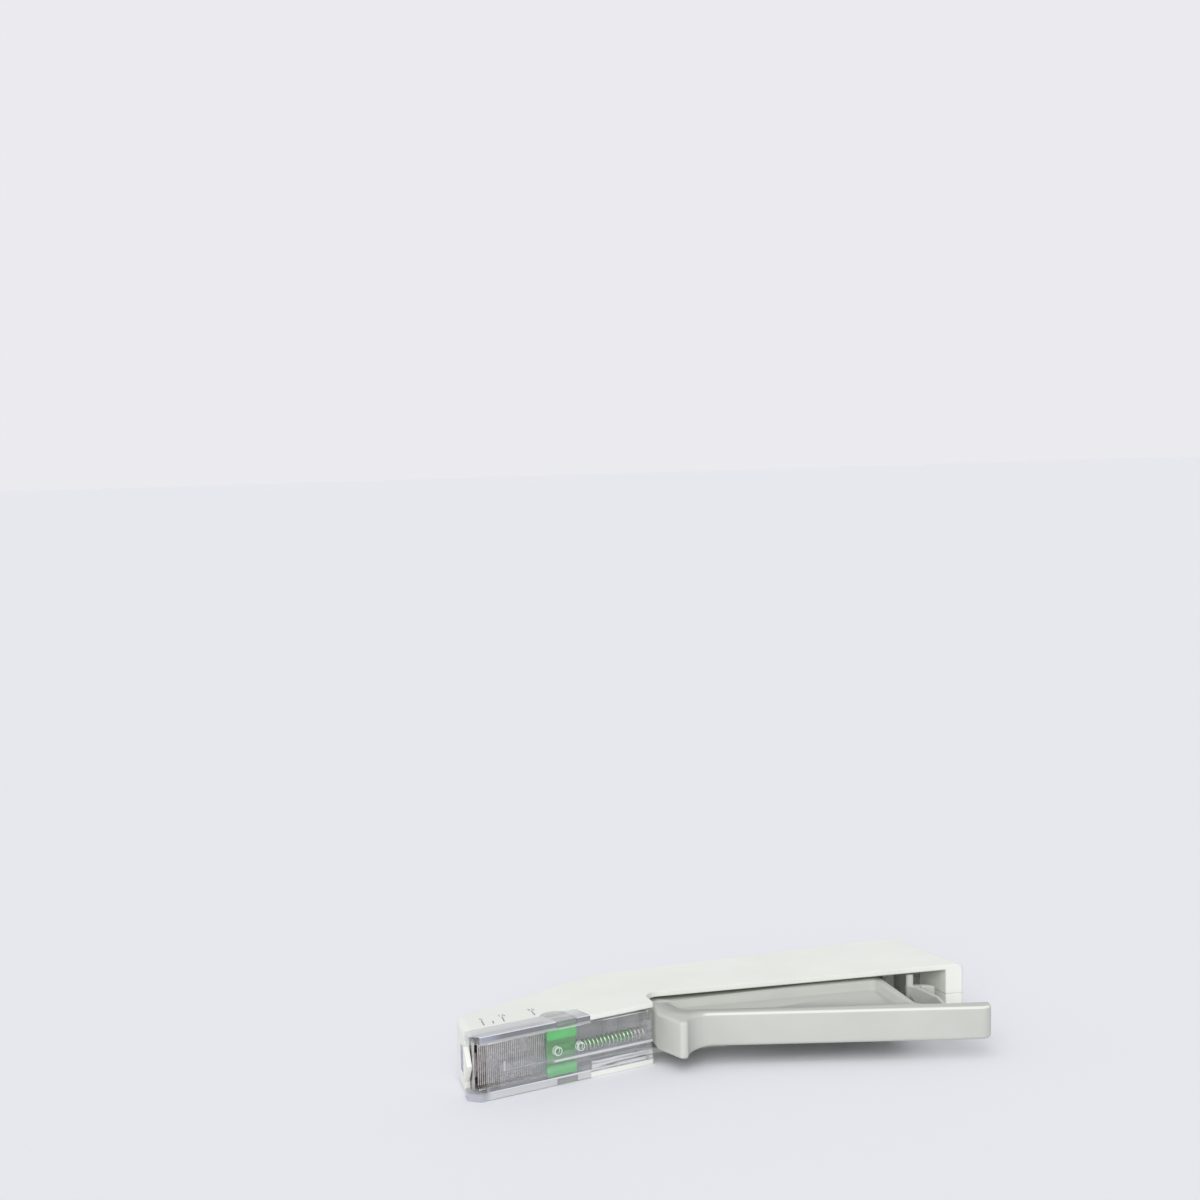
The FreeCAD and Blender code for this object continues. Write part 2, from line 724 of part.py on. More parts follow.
# Pusher behind the stack, with the rod that its spring runs on
STACK_LENGTH = "sizes.staple_count * sizes.staple_wire * sqrt(1 + %s * %s)" % (LEAN, LEAN)
PUSHER_FACE = "(sizes.stack_front + %s + 0.05)" % STACK_LENGTH
PUSHER_LOW = "(%s + sizes.pusher_gap)" % FLOOR
PUSHER_REAR = "(%s + %s * %s + sizes.pusher_length)" % (PUSHER_FACE, LEAN, PUSHER_LOW)
pusher_top = "-sizes.base_drop - 0.15"
staple_pusher = new_body("staple_pusher", turned=True)
block_side = [
    ("%s + %s * %s" % (PUSHER_FACE, LEAN, PUSHER_LOW), PUSHER_LOW),
    (PUSHER_REAR, PUSHER_LOW),
    (PUSHER_REAR, pusher_top),
    ("%s + %s * (%s)" % (PUSHER_FACE, LEAN, pusher_top), pusher_top),
]
pusher_side_low = INNER_LOW + " + sizes.pusher_gap"
slab(staple_pusher, block_side, pusher_side_low, INNER_HIGH + " - sizes.pusher_gap")
rail_way = rectangle("0", "-sizes.pusher_floor_top", "sizes.cart_length", "0")
cut_slab(staple_pusher, rail_way, *about_middle("sizes.anvil_width / 2 + sizes.pusher_gap"))
channel_top = PUSHER_LOW + " + sizes.channel_depth"
channel = rectangle("0", PUSHER_LOW + " - 0.2", "sizes.cart_length", channel_top)
cut_slab(staple_pusher, channel, *about_middle("sizes.channel_half"))
rod_axis = ("-sizes.rod_drop", MIDDLE)
rod_start = PUSHER_REAR + " - 1"
rod_circle = circle_sketch(staple_pusher, *rod_axis, "sizes.rod_radius", "YZ_Plane", rod_start)
rod_end = "sizes.cart_length - sizes.spring_seat_length - sizes.spigot_length - sizes.rod_end_gap"
pad(staple_pusher, rod_circle, "%s - %s + 1" % (rod_end, PUSHER_REAR))

spring_seat = new_body("spring_seat", turned=True)
seat_front = "sizes.cart_length - sizes.spring_seat_length"
seat_side = rectangle(seat_front, FLOOR, "sizes.cart_length", "-sizes.base_drop")
slab(spring_seat, seat_side, *about_middle("sizes.seat_width / 2"))
spigot_start = seat_front + " - sizes.spigot_length"
spigot = circle_sketch(spring_seat, *rod_axis, "sizes.spigot_radius", "YZ_Plane", spigot_start)
pad(spring_seat, spigot, "sizes.spigot_length + sizes.spring_seat_length / 2")


def coil_wire(centres, outward, axis, wire, sides=6):
    """A wire of round section, drawn through its centres with the outward direction at each."""
    sections = []
    for centre, out in zip(centres, outward):
        ring = []
        for index in range(sides):
            angle = 2 * math.pi * index / sides
            aside, along = math.cos(angle) * wire / 2, math.sin(angle) * wire / 2
            ring.append(centre + out * aside + axis * along)
        sections.append(Part.makePolygon(ring + [ring[0]]))
    return Part.makeLoft(sections, True, True)


def helix_points(start, axis, side, radius, rise, turn, steps=10):
    """Centres and outward directions of a helix, whose turn in degrees may be negative."""
    other = axis.cross(side)
    count = int(round(abs(turn) / 360 * steps))
    centres = []
    outward = []
    for index in range(count + 1):
        angle = math.radians(turn * index / count)
        out = side * math.cos(angle) + other * math.sin(angle)
        centres.append(start + out * radius + axis * (rise * index / count))
        outward.append(out)
    return centres, outward


def make_pusher_spring():
    """Coil round the rod, from the pusher's rear face to the seat."""
    wire = size["spring_wire"]
    first = number(PUSHER_REAR) + 0.05 + wire / 2
    last = size["cart_length"] - size["spring_seat_length"] - 0.05 - wire / 2
    start = FreeCAD.Vector(first, -size["rod_drop"], size["body_width"] / 2)
    axis = FreeCAD.Vector(1, 0, 0)
    side = FreeCAD.Vector(0, 0, 1)
    turn = 360 * size["spring_turns"]
    centres, outward = helix_points(start, axis, side, size["spring_radius"], last - first, turn)
    return coil_wire(centres, outward, axis, wire)


pusher_spring = add_feature("pusher_spring", make_pusher_spring(), turned=True)

# Clip of smoked plastic that holds the cartridge in the shells
cartridge_clip = new_body("cartridge_clip", turned=True)
clip_rear = "sizes.clip_front + sizes.clip_width"
for low in ("sizes.clip_gap", "sizes.body_width - sizes.clip_gap - sizes.clip_thickness"):
    high = "%s + sizes.clip_thickness" % low
    rod(cartridge_clip, DOME_AT, DOME_DROP, "sizes.dome_radius", low, high)
    reach = "(sizes.dome_radius + 1)"
    dome_ends = ("%s - %s" % (DOME_AT, reach), "%s + %s" % (DOME_AT, reach))
    below = rectangle(dome_ends[0], "-2 * %s" % reach, dome_ends[1], "0")
    cut_slab(cartridge_clip, below, low, high)
for low in ("sizes.clip_gap", "sizes.body_width - sizes.clip_gap - sizes.clip_thickness"):
    strip = rectangle("sizes.clip_front", "-sizes.cart_depth + sizes.clip_gap", clip_rear, "0.3")
    slab(cartridge_clip, strip, low, "%s + sizes.clip_thickness" % low)
bridge_low = "sizes.base_flange + 0.3"
bridge_high = bridge_low + " + sizes.clip_bridge"
bridge = rectangle(DOME_AT + " - 1.8", bridge_low, DOME_AT + " + 1.8", bridge_high)
slab(cartridge_clip, bridge, "sizes.clip_gap + 0.5", "sizes.body_width - sizes.clip_gap - 0.5")

# Driver at the nose: guide, blade, carrier and the pin that the lever moves
GUIDE_BACK = "sizes.guide_front + sizes.guide_plate"
BLADE_FRONT = GUIDE_BACK + " + sizes.guide_gap"
BLADE_BACK = BLADE_FRONT + " + sizes.blade_thickness"
wide_low = "sizes.shell_wall + sizes.cover_side_gap"
wide_high = "sizes.body_width - sizes.shell_wall - sizes.cover_side_gap"


nose_guide = new_body("nose_guide")
upper_start = "sizes.guide_plate + 1"
front_plate = leaning_plate("sizes.guide_front", GUIDE_BACK, upper_start, "sizes.guide_top")
slab(nose_guide, front_plate, wide_low, wide_high)
lower_end = upper_start + " + 0.5"
lower_plate = leaning_plate("sizes.guide_front", GUIDE_BACK, "-sizes.guide_foot", lower_end)
slab(nose_guide, lower_plate, INNER_LOW + " + sizes.cart_gap", INNER_HIGH + " - sizes.cart_gap")
clear_of_base = "(sizes.base_flange + 0.3 + (%s) * sin(sizes.tilt)) / cos(sizes.tilt)"
flange_start = "(%s + 0.1)" % GUIDE_BACK
guide_cheek = [
    ("%s - 0.2" % flange_start, clear_of_base % flange_start),
    ("sizes.guide_length", clear_of_base % "sizes.guide_length"),
    ("sizes.guide_length", "sizes.guide_top + sizes.guide_rise"),
    on_blade("%s - 0.2" % flange_start, "sizes.guide_top"),
]
slab(nose_guide, guide_cheek, wide_low, wide_low + " + sizes.guide_flange")
slab(nose_guide, guide_cheek, wide_high + " - sizes.guide_flange", wide_high)

driver_blade = new_body("driver_blade")
blade_side = leaning_plate(BLADE_FRONT, BLADE_BACK, "sizes.blade_low", "sizes.blade_top")
BLADE_EDGE = "(sizes.shell_wall + sizes.cover_side_gap + sizes.guide_flange + 0.2)"
slab(driver_blade, blade_side, BLADE_EDGE, "sizes.body_width - %s" % BLADE_EDGE)
notch_side = rectangle("0", "sizes.blade_low - 1", "10", "sizes.blade_low + sizes.blade_notch")
cut_slab(driver_blade, notch_side, *about_middle("sizes.anvil_width / 2 + sizes.blade_notch_gap"))

driver_carrier = new_body("driver_carrier")
carrier_side = [
    on_blade(BLADE_BACK, "sizes.carrier_low"),
    ("sizes.carrier_rear", "sizes.carrier_low"),
    ("sizes.carrier_rear", "sizes.carrier_top + sizes.carrier_rise"),
    on_blade(BLADE_BACK, "sizes.carrier_top"),
]
slab(driver_carrier, carrier_side, BLADE_EDGE, "sizes.body_width - %s" % BLADE_EDGE)
gap_front = "sizes.drive_pin_x - sizes.lever_tip - 0.2"
gap_top = "sizes.carrier_top + sizes.carrier_rise + 1"
lever_gap = rectangle(gap_front, "0", "sizes.carrier_rear + 1", gap_top)
cut_slab(driver_carrier, lever_gap, *about_middle("sizes.lever_slot / 2"))
pin_reach = "(sizes.drive_pin_radius + sizes.pin_clearance)"
pin_way = rectangle(
    "sizes.drive_pin_x - %s" % pin_reach,
    "sizes.drive_pin_y - %s" % pin_reach,
    "sizes.drive_pin_x + sizes.pin_run + %s" % pin_reach,
    "sizes.drive_pin_y + %s" % pin_reach,
)
cut_slab(driver_carrier, pin_way, "0", "sizes.body_width")

DRIVE_AT = ("sizes.drive_pin_x", "sizes.drive_pin_y")
drive_pin = new_body("drive_pin")
rod(drive_pin, *DRIVE_AT, "sizes.drive_pin_radius", *about_middle("sizes.drive_pin_length / 2"))

# Pivot pin, lever and rivets
pivot_pin = new_body("pivot_pin")
pivot_high = "sizes.body_width - sizes.shell_wall"
rod(pivot_pin, *PIVOT_AT, "sizes.pivot_radius", "sizes.shell_wall", pivot_high)

drive_lever = new_body("drive_lever")
LEVER_LAYER = about_middle("sizes.lever_thickness / 2")
LEVER_REACH = "sqrt((sizes.pivot_x - sizes.drive_pin_x)^2 + (sizes.pivot_y - sizes.drive_pin_y)^2)"
along_x = "((sizes.pivot_x - sizes.drive_pin_x) / %s)" % LEVER_REACH
along_y = "((sizes.pivot_y - sizes.drive_pin_y) / %s)" % LEVER_REACH


def beside_lever(spot, half):
    """A point to one side of the lever's front arm, at some distance from its middle line."""
    across, up = spot
    return "%s - (%s) * %s" % (across, half, along_y), "%s + (%s) * %s" % (up, half, along_x)


front_bar = [
    beside_lever(DRIVE_AT, "sizes.lever_tip"),
    beside_lever(DRIVE_AT, "-sizes.lever_tip"),
    beside_lever(PIVOT_AT, "-sizes.lever_half"),
    beside_lever(PIVOT_AT, "sizes.lever_half"),
]
slab(drive_lever, front_bar, *LEVER_LAYER)
rod(drive_lever, *DRIVE_AT, "sizes.lever_tip", *LEVER_LAYER)
rod(drive_lever, *PIVOT_AT, "sizes.hub_radius - 0.4", *LEVER_LAYER)
rear_bar = [
    ("sizes.pivot_x", "sizes.pivot_y - sizes.lever_half"),
    ("sizes.lever_rear_x", "sizes.lever_rear_y - sizes.lever_half"),
    ("sizes.lever_rear_x", "sizes.lever_rear_y + sizes.lever_half * 0.6"),
    ("sizes.pivot_x", "sizes.pivot_y + sizes.lever_half"),
]
slab(drive_lever, rear_bar, *LEVER_LAYER)
PIVOT_HOLE = "sizes.pivot_radius + sizes.pivot_clearance"
bore(drive_lever, *DRIVE_AT, "sizes.drive_pin_radius", *LEVER_LAYER)
bore(drive_lever, *PIVOT_AT, PIVOT_HOLE, *LEVER_LAYER)
RIVETS = (("sizes.rivet_front_x", "sizes.rivet_y"), ("sizes.rivet_rear_x", "sizes.rivet_y"))
for spot in RIVETS:
    bore(drive_lever, *spot, "sizes.rivet_radius", *LEVER_LAYER)

ARM_LOW = "sizes.arm_side_gap"
ARM_HIGH = "(sizes.body_width - sizes.arm_side_gap)"
lever_rivets = new_body("lever_rivets")
rivet_low = ARM_LOW + " - sizes.rivet_head"
rivet_high = ARM_HIGH + " + sizes.rivet_head"
for spot in RIVETS:
    rod(lever_rivets, *spot, "sizes.rivet_radius", rivet_low, rivet_high)
    rod(lever_rivets, *spot, "sizes.rivet_head_radius", rivet_low, ARM_LOW)
    rod(lever_rivets, *spot, "sizes.rivet_head_radius", ARM_HIGH, rivet_high)

TOOTH = "(%s + sizes.tooth_from_cart)" % CART_END
GUARD = "(%s + sizes.guard_from_cart)" % CART_END
GRIP_FACE = "(%s + sizes.face_from_cart)" % CART_END
WEB_FRONT = "(%s + sizes.web_from_cart)" % CART_END
POCKET_FLANGE = "(%s + sizes.pocket_flange_from_cart)" % CART_END

# Trigger: a grip with a finger guard, a hollowed web, an arm to the pivot and a springy hook


def make_trigger():
    """The whole moulding. It turns about the pivot, and its arm holds the lever."""
    body = new_body("trigger")
    outline = [
        (TOOTH, "sizes.tooth_y"),
        (TOOTH + " + sizes.tooth_width", "sizes.tooth_y - 0.3"),
        (GUARD, "sizes.guard_y"),
        ("sizes.tail_x", "sizes.tail_y"),
        ("sizes.tail_top_x", "sizes.tail_top_y"),
        ("sizes.hook_root_x", "sizes.hook_root_y"),
        ("sizes.web_foot_x", "sizes.web_foot_y"),
        ("sizes.web_rear_x", "sizes.web_top_rear"),
        (WEB_FRONT, "sizes.web_top_front"),
        (WEB_FRONT + " + 2", "sizes.slot_edge_y"),
        (GRIP_FACE + " + 0.6", "sizes.slot_edge_y - 1"),
        (GRIP_FACE, "sizes.trigger_face_y"),
    ]
    low = "sizes.trigger_side_gap"
    high = "sizes.body_width - sizes.trigger_side_gap"
    flange_start = number(POCKET_FLANGE)
    blank = slab(body, outline, low, high)
    spots = [corner(*place) for place in outline]
    blank = fillet(body, blank, upright_edges(blank, spots[2:3]), "sizes.guard_round")
    blank = fillet(body, blank, upright_edges(blank, spots[3:4]), "sizes.tail_round")
    blank = fillet(body, blank, upright_edges(blank, spots[5:7]), "sizes.pocket_round * 1.2")
    tips = spots[0:2] + spots[4:5]
    blank = fillet(body, blank, upright_edges(blank, tips), "sizes.trigger_round")

    def outside(point):
        below_body = point.y < size["slot_edge_y"] - 1.2
        before_hook = point.y < size["hook_root_y"] + 0.6 or point.x < flange_start
        return below_body and before_hook

    rims = level_edges(blank, number(low), outside) + level_edges(blank, number(high), outside)
    blank = fillet(body, blank, rims, "sizes.trigger_round")
    recess = [
        (CART_END + " + sizes.pocket_top_from_cart", "sizes.pocket_top"),
        (CART_END + " + sizes.pocket_low_from_cart", "sizes.pocket_low_y"),
        (POCKET_FLANGE, "sizes.pocket_flange_y"),
        ("sizes.pocket_rear_low_x", "sizes.pocket_rear_low_y"),
        ("sizes.pocket_rear_x", "sizes.pocket_top"),
    ]
    cut_slab(body, recess, "%s - 1" % low, "%s + sizes.pocket_depth" % low)
    hollow = cut_slab(body, recess, "%s - sizes.pocket_depth" % high, "%s + 1" % high)
    recess_spots = [corner(*place) for place in recess]
    fillet(body, hollow, upright_edges(hollow, recess_spots), "sizes.pocket_round")
    arm = [
        ("sizes.pivot_x + 4", "sizes.pivot_y - sizes.hub_radius + 0.1"),
        (WEB_FRONT, "sizes.slot_edge_y + 1.3"),
        (WEB_FRONT + " + 8", "sizes.slot_edge_y + 3"),
        (WEB_FRONT + " + 8", "sizes.web_top_front - 1.2"),
        (WEB_FRONT, "sizes.web_top_front"),
        ("sizes.pivot_x + 10", "sizes.web_top_front"),
        ("sizes.pivot_x + 1.5", "sizes.pivot_y + sizes.hub_radius - 0.3"),
        ("sizes.pivot_x", "sizes.pivot_y"),
    ]
    slab(body, arm, ARM_LOW, ARM_HIGH)
    rod(body, *PIVOT_AT, "sizes.hub_radius", ARM_LOW, ARM_HIGH)
    collar_low = "sizes.shell_wall + sizes.pivot_boss_height + sizes.collar_gap"
    collar_high = "sizes.body_width - (%s)" % collar_low
    rod(body, *PIVOT_AT, "sizes.collar_radius", collar_low, collar_high)
    bore(body, *PIVOT_AT, PIVOT_HOLE, "0", "sizes.body_width")
    lever_way = [
        ("sizes.pivot_x - sizes.hub_radius - 1", "sizes.pivot_y - sizes.hub_radius - 1"),
        ("sizes.pivot_x + sizes.hub_radius", "sizes.pivot_y - sizes.hub_radius - 1"),
        ("sizes.pivot_x + sizes.hub_radius + 1", "sizes.pivot_y - sizes.lever_half - 0.4"),
        ("sizes.lever_rear_x + 0.3", "sizes.lever_rear_y - sizes.lever_half - 0.3"),
        ("sizes.lever_rear_x + 0.3", "sizes.lever_rear_y + sizes.lever_half"),
        ("sizes.pivot_x", "sizes.pivot_y + sizes.hub_radius + 1"),
        ("sizes.pivot_x - sizes.hub_radius - 1", "sizes.pivot_y + sizes.hub_radius + 1"),
    ]
    cut_slab(body, lever_way, *about_middle("sizes.lever_thickness / 2 + sizes.lever_fit"))
    for spot in RIVETS:
        bore(body, *spot, "sizes.rivet_radius", "0", "sizes.body_width")
    stub_y = "sizes.pivot_y + sizes.return_radius - sizes.return_wire / 2 - sizes.stub_radius"
    rod(body, "sizes.stub_x", stub_y, "sizes.stub_radius", ARM_LOW + " - 2", ARM_LOW + " + 0.5")
    return body


def add_hook(body):
    """The springy arm behind the web: a thin strip with a barbed head and a cross pin."""
    strip = [
        ("sizes.hook_root_x + 1.6", "sizes.hook_root_y - 2"),
        ("sizes.hook_root_x + 5.4", "sizes.hook_root_y - 2"),
        ("sizes.hook_root_x + 4.0", "sizes.hook_root_y + 1.6"),
        ("sizes.hook_root_x + 6.6", "sizes.hook_root_y + 14.6"),
        ("sizes.hook_root_x + 6.0", "sizes.hook_top - 4"),
        ("sizes.hook_root_x + 7.4", "sizes.hook_top - 2.3"),
        ("sizes.hook_root_x + 10.4", "sizes.hook_top - 4.6"),
        ("sizes.hook_root_x + 9.4", "sizes.hook_top - 0.6"),
        ("sizes.hook_root_x + 3.4", "sizes.hook_top"),
        ("sizes.hook_root_x + 3.4", "sizes.hook_top - 1.4"),
        ("sizes.hook_root_x + 6.0 - sizes.hook_arm", "sizes.hook_top - 4"),
        ("sizes.hook_root_x + 6.6 - sizes.hook_arm", "sizes.hook_root_y + 14.6"),
        ("sizes.hook_root_x + 4.0 - sizes.hook_arm", "sizes.hook_root_y + 1.6"),
    ]
    slab(body, strip, *about_middle("sizes.hook_width / 2"))
    pin_at = ("sizes.hook_root_x + 4.4", "sizes.hook_top - 0.9")
    rod(body, *pin_at, "sizes.hook_pin_radius", *about_middle("sizes.hook_pin_length / 2"))


trigger = make_trigger()
add_hook(trigger)


def make_return_spring():
    """Torsion spring round the collar, one leg on the slope wall, one on the arm's stub."""
    wire = size["return_wire"]
    turn = -(size["return_turns"] * 360 + 270 + size["return_start"])
    rise = size["return_pitch"] * abs(turn) / 360
    bottom = size["shell_wall"] + size["pivot_boss_height"] + 0.1 + wire / 2
    start = FreeCAD.Vector(size["pivot_x"], size["pivot_y"], bottom)
    axis = FreeCAD.Vector(0, 0, 1)
    angle = math.radians(size["return_start"])
    side = FreeCAD.Vector(math.cos(angle), math.sin(angle), 0)
    centres, outward = helix_points(start, axis, side, size["return_radius"], rise, turn, steps=14)
    short_leg = FreeCAD.Vector(-side.y, side.x, 0) * size["return_short_leg"]
    last = outward[-1]
    long_leg = FreeCAD.Vector(last.y, -last.x, 0) * size["return_long_leg"]
    centres = [centres[0] + short_leg] + centres + [centres[-1] + long_leg]
    outward = [side] + outward + [last]
    return coil_wire(centres, outward, axis, wire)


return_spring = add_feature("return_spring", make_return_spring())

doc.recompute()

PIECES = [
    left_shell,
    right_shell,
    nose_guide,
    cartridge_cover,
    cartridge_base,
    cartridge_clip,
    cartridge_pins,
    anvil_plate,
    ejector_spring,
    staple_stack,
    staple_pusher,
    pusher_spring,
    spring_seat,
    driver_blade,
    driver_carrier,
    drive_pin,
    drive_lever,
    lever_rivets,
    pivot_pin,
    trigger,
    return_spring,
]

for feature in doc.Objects:
    if "Invalid" in feature.State or "Error" in feature.State:
        raise RuntimeError("%s failed: %s" % (feature.Label, feature.State))
for piece in PIECES:
    if piece.Shape.isNull() or not piece.Shape.isValid():
        raise RuntimeError(piece.Label + " has no valid shape")

os.makedirs("parts", exist_ok=True)
for piece in PIECES:
    piece.Shape.exportStep("parts/%s.step" % piece.Label)
    print(piece.Label, len(piece.Shape.Solids), round(piece.Shape.Volume, 2))
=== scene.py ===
import json
import math
from types import SimpleNamespace

import bpy
from bpy.props import FloatProperty, FloatVectorProperty, IntProperty, PointerProperty
from mathutils import Matrix, Vector

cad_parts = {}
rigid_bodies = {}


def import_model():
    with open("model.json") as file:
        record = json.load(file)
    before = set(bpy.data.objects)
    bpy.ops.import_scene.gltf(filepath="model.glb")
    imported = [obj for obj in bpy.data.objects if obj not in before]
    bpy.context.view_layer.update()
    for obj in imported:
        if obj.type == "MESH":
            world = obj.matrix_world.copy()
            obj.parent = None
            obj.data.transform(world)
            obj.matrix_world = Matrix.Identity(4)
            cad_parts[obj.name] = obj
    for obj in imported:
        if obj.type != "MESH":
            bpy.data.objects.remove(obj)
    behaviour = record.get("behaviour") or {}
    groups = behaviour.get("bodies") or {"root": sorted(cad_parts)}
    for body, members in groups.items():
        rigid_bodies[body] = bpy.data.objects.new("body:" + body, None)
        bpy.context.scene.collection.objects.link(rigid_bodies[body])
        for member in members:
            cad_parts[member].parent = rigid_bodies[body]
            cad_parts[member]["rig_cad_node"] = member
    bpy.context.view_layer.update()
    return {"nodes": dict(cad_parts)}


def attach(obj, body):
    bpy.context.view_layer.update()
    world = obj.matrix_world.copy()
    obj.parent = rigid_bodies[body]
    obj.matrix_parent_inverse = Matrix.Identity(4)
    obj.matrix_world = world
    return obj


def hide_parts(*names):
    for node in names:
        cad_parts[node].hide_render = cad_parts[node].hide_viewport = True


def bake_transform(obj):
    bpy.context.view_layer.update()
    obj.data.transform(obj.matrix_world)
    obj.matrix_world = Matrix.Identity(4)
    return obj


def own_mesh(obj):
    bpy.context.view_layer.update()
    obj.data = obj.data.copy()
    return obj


bl_info = {
    "name": "Skin Stapler",
    "version": (1, 0, 0),
    "blender": (4, 5, 0),
    "location": "3D Viewport > Sidebar > Stapler",
    "description": "Finishes a disposable skin stapler over its packed solids",
    "category": "Object",
}

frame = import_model()
NODES = frame["nodes"]

# the lower front corner of the nose, from which the stapler's profile is drawn
NOSE = Vector((-0.074764, -0.019948, 0))
TILT = math.radians(18.6)
NOSE_SLANT = 0.087
MM = 0.001
TO_MM = 1000

# across the stapler's thickness, in millimetres
THICKNESS = 17.2
MIDDLE = THICKNESS / 2

# how thick the printed scale is, and how far the floor lies under it, in metres
PRINT = 0.00002

# how finely round stretches are made
COIL_SIDES = 10
COIL_STEPS_PER_TURN = 22
STAPLE_SIDES = 8
STAPLE_BEND_STEPS = 4


# places on the stapler


def on_body(across, up, height):
    """A point given in millimetres from the nose corner, in the frame."""
    return NOSE + Vector((across, up, height)) * MM


def on_magazine(along, up, height):
    """A point given in millimetres along and square to the magazine, in the frame."""
    across = along * math.cos(TILT) - up * math.sin(TILT)
    rise = along * math.sin(TILT) + up * math.cos(TILT)
    return on_body(across, rise, height)


# modelling


def deselect():
    if bpy.context.mode != "OBJECT":
        bpy.ops.object.mode_set(mode="OBJECT")
    bpy.ops.object.select_all(action="DESELECT")


def make_active(piece):
    deselect()
    piece.select_set(True)
    bpy.context.view_layer.objects.active = piece


def settle(piece):
    """Put the piece's place in its mesh, merge its doubles and turn its faces outwards."""
    make_active(piece)
    bpy.ops.object.transform_apply(location=True, rotation=True, scale=True)
    bpy.ops.object.mode_set(mode="EDIT")
    bpy.ops.mesh.select_all(action="SELECT")
    bpy.ops.mesh.remove_doubles(threshold=1e-6)
    bpy.ops.mesh.normals_make_consistent(inside=False)
    bpy.ops.object.mode_set(mode="OBJECT")


def smooth(piece, degrees):
    make_active(piece)
    bpy.ops.object.shade_smooth_by_angle(angle=math.radians(degrees))


def join(name, pieces):
    """One settled piece out of several."""
    deselect()
    for piece in pieces:
        piece.select_set(True)
    bpy.context.view_layer.objects.active = pieces[0]
    bpy.ops.object.join()
    joined = bpy.context.view_layer.objects.active
    joined.name = name
    joined.data.name = name
    settle(joined)
    return joined


def bar(name, size, centre, turn):
    """A straight bar, sizes in metres, turned about Z."""
    deselect()
    bpy.ops.mesh.primitive_cube_add(size=1, location=centre, rotation=(0, 0, turn))
    piece = bpy.context.view_layer.objects.active
    piece.name = name
    piece.scale = size
    settle(piece)
    return piece


def place_piece(piece, start, columns):
    """Stand a piece that was made at the origin on a point.

    Its X, Y and Z then run along three directions.
    """
    turned = Matrix([Vector(column).normalized() for column in columns]).transposed()
    piece.matrix_world = Matrix.Translation(start) @ turned.to_4x4()
    settle(piece)


def twin_of(node, name):
    """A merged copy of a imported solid, which may be shaped."""
    make_active(NODES[node])
    bpy.ops.object.duplicate(linked=False)
    twin = bpy.context.view_layer.objects.active
    bpy.ops.object.parent_clear(type="CLEAR_KEEP_TRANSFORM")
    del twin["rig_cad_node"]
    twin.name = name
    twin.data.name = name
    settle(twin)
    return twin


def move_part(piece, chosen, step, reach=0.0):
    """Move the vertices whose place, in millimetres from the nose corner, is chosen.

    Where reach is given, the vertices within that distance follow them, less the further they are.
    """
    make_active(piece)
    bpy.ops.object.mode_set(mode="EDIT")
    bpy.ops.mesh.select_mode(type="VERT")
    bpy.ops.mesh.select_all(action="DESELECT")
    bpy.ops.object.mode_set(mode="OBJECT")
    for vertex in piece.data.vertices:
        vertex.select = chosen((vertex.co - NOSE) / MM)
    bpy.ops.object.mode_set(mode="EDIT")
    bpy.ops.transform.translate(
        value=step,
        use_proportional_edit=reach > 0,
        proportional_edit_falloff="LINEAR",
        proportional_size=reach or 1,
    )
    bpy.ops.object.mode_set(mode="OBJECT")


def coil(name, radius, wire, turns, rise):
    """A wire coil round Z, from one round profile, closed at both ends."""
    deselect()
    bpy.ops.mesh.primitive_circle_add(
        vertices=COIL_SIDES,
        radius=wire / 2,
        location=(radius, 0, 0),
        rotation=(math.pi / 2, 0, 0),
    )
    piece = bpy.context.view_layer.objects.active
    piece.name = name
    bpy.ops.object.transform_apply(location=True, rotation=True, scale=True)
    bpy.ops.object.modifier_add(type="SCREW")
    screw = piece.modifiers[0]
    screw.angle = 2 * math.pi * turns
    screw.screw_offset = rise
    screw.steps = screw.render_steps = int(turns * COIL_STEPS_PER_TURN)
    bpy.ops.object.modifier_apply(modifier=screw.name)
    bpy.ops.object.mode_set(mode="EDIT")
    bpy.ops.mesh.select_all(action="DESELECT")
    bpy.ops.mesh.select_mode(type="EDGE")
    bpy.ops.mesh.select_non_manifold()
    bpy.ops.mesh.fill_holes(sides=0)
    bpy.ops.mesh.select_all(action="DESELECT")
    bpy.ops.object.mode_set(mode="OBJECT")
    return piece


def bend(angle, centre):
    """Draw the selected end on round a bend in the XY plane."""
    bpy.ops.mesh.spin(steps=STAPLE_BEND_STEPS, angle=angle, center=centre, axis=(0, 0, 1))


def one_staple(name, half, leg, crown, wire, corner):
    """A wire staple in the XY plane: legs down, crown up, its middle at X = 0.

    Half is half its width over the legs, and corner the radius of its two bends.
    """
    deselect()
    bpy.ops.mesh.primitive_circle_add(
        vertices=STAPLE_SIDES,
        radius=wire / 2,
        fill_type="NGON",
        location=(wire / 2 - half, -leg, 0),
        rotation=(math.pi / 2, 0, 0),
    )
    piece = bpy.context.view_layer.objects.active
    piece.name = name
    bpy.ops.object.transform_apply(location=True, rotation=True, scale=True)
    bpy.ops.object.mode_set(mode="EDIT")
    bpy.ops.mesh.select_all(action="SELECT")
    left = wire / 2 - half
    top = crown - wire / 2
    straight = {"value": (0, leg + top - corner, 0)}
    bpy.ops.mesh.extrude_region_move(TRANSFORM_OT_translate=straight)
    bend(-math.pi / 2, (left + corner, top - corner, 0))
    across = {"value": (-2 * (left + corner), 0, 0)}
    bpy.ops.mesh.extrude_region_move(TRANSFORM_OT_translate=across)
    bend(-math.pi / 2, (-left - corner, top - corner, 0))
    down = {"value": (0, -(leg + top - corner), 0)}
    bpy.ops.mesh.extrude_region_move(TRANSFORM_OT_translate=down)
    bpy.ops.object.mode_set(mode="OBJECT")
    return piece


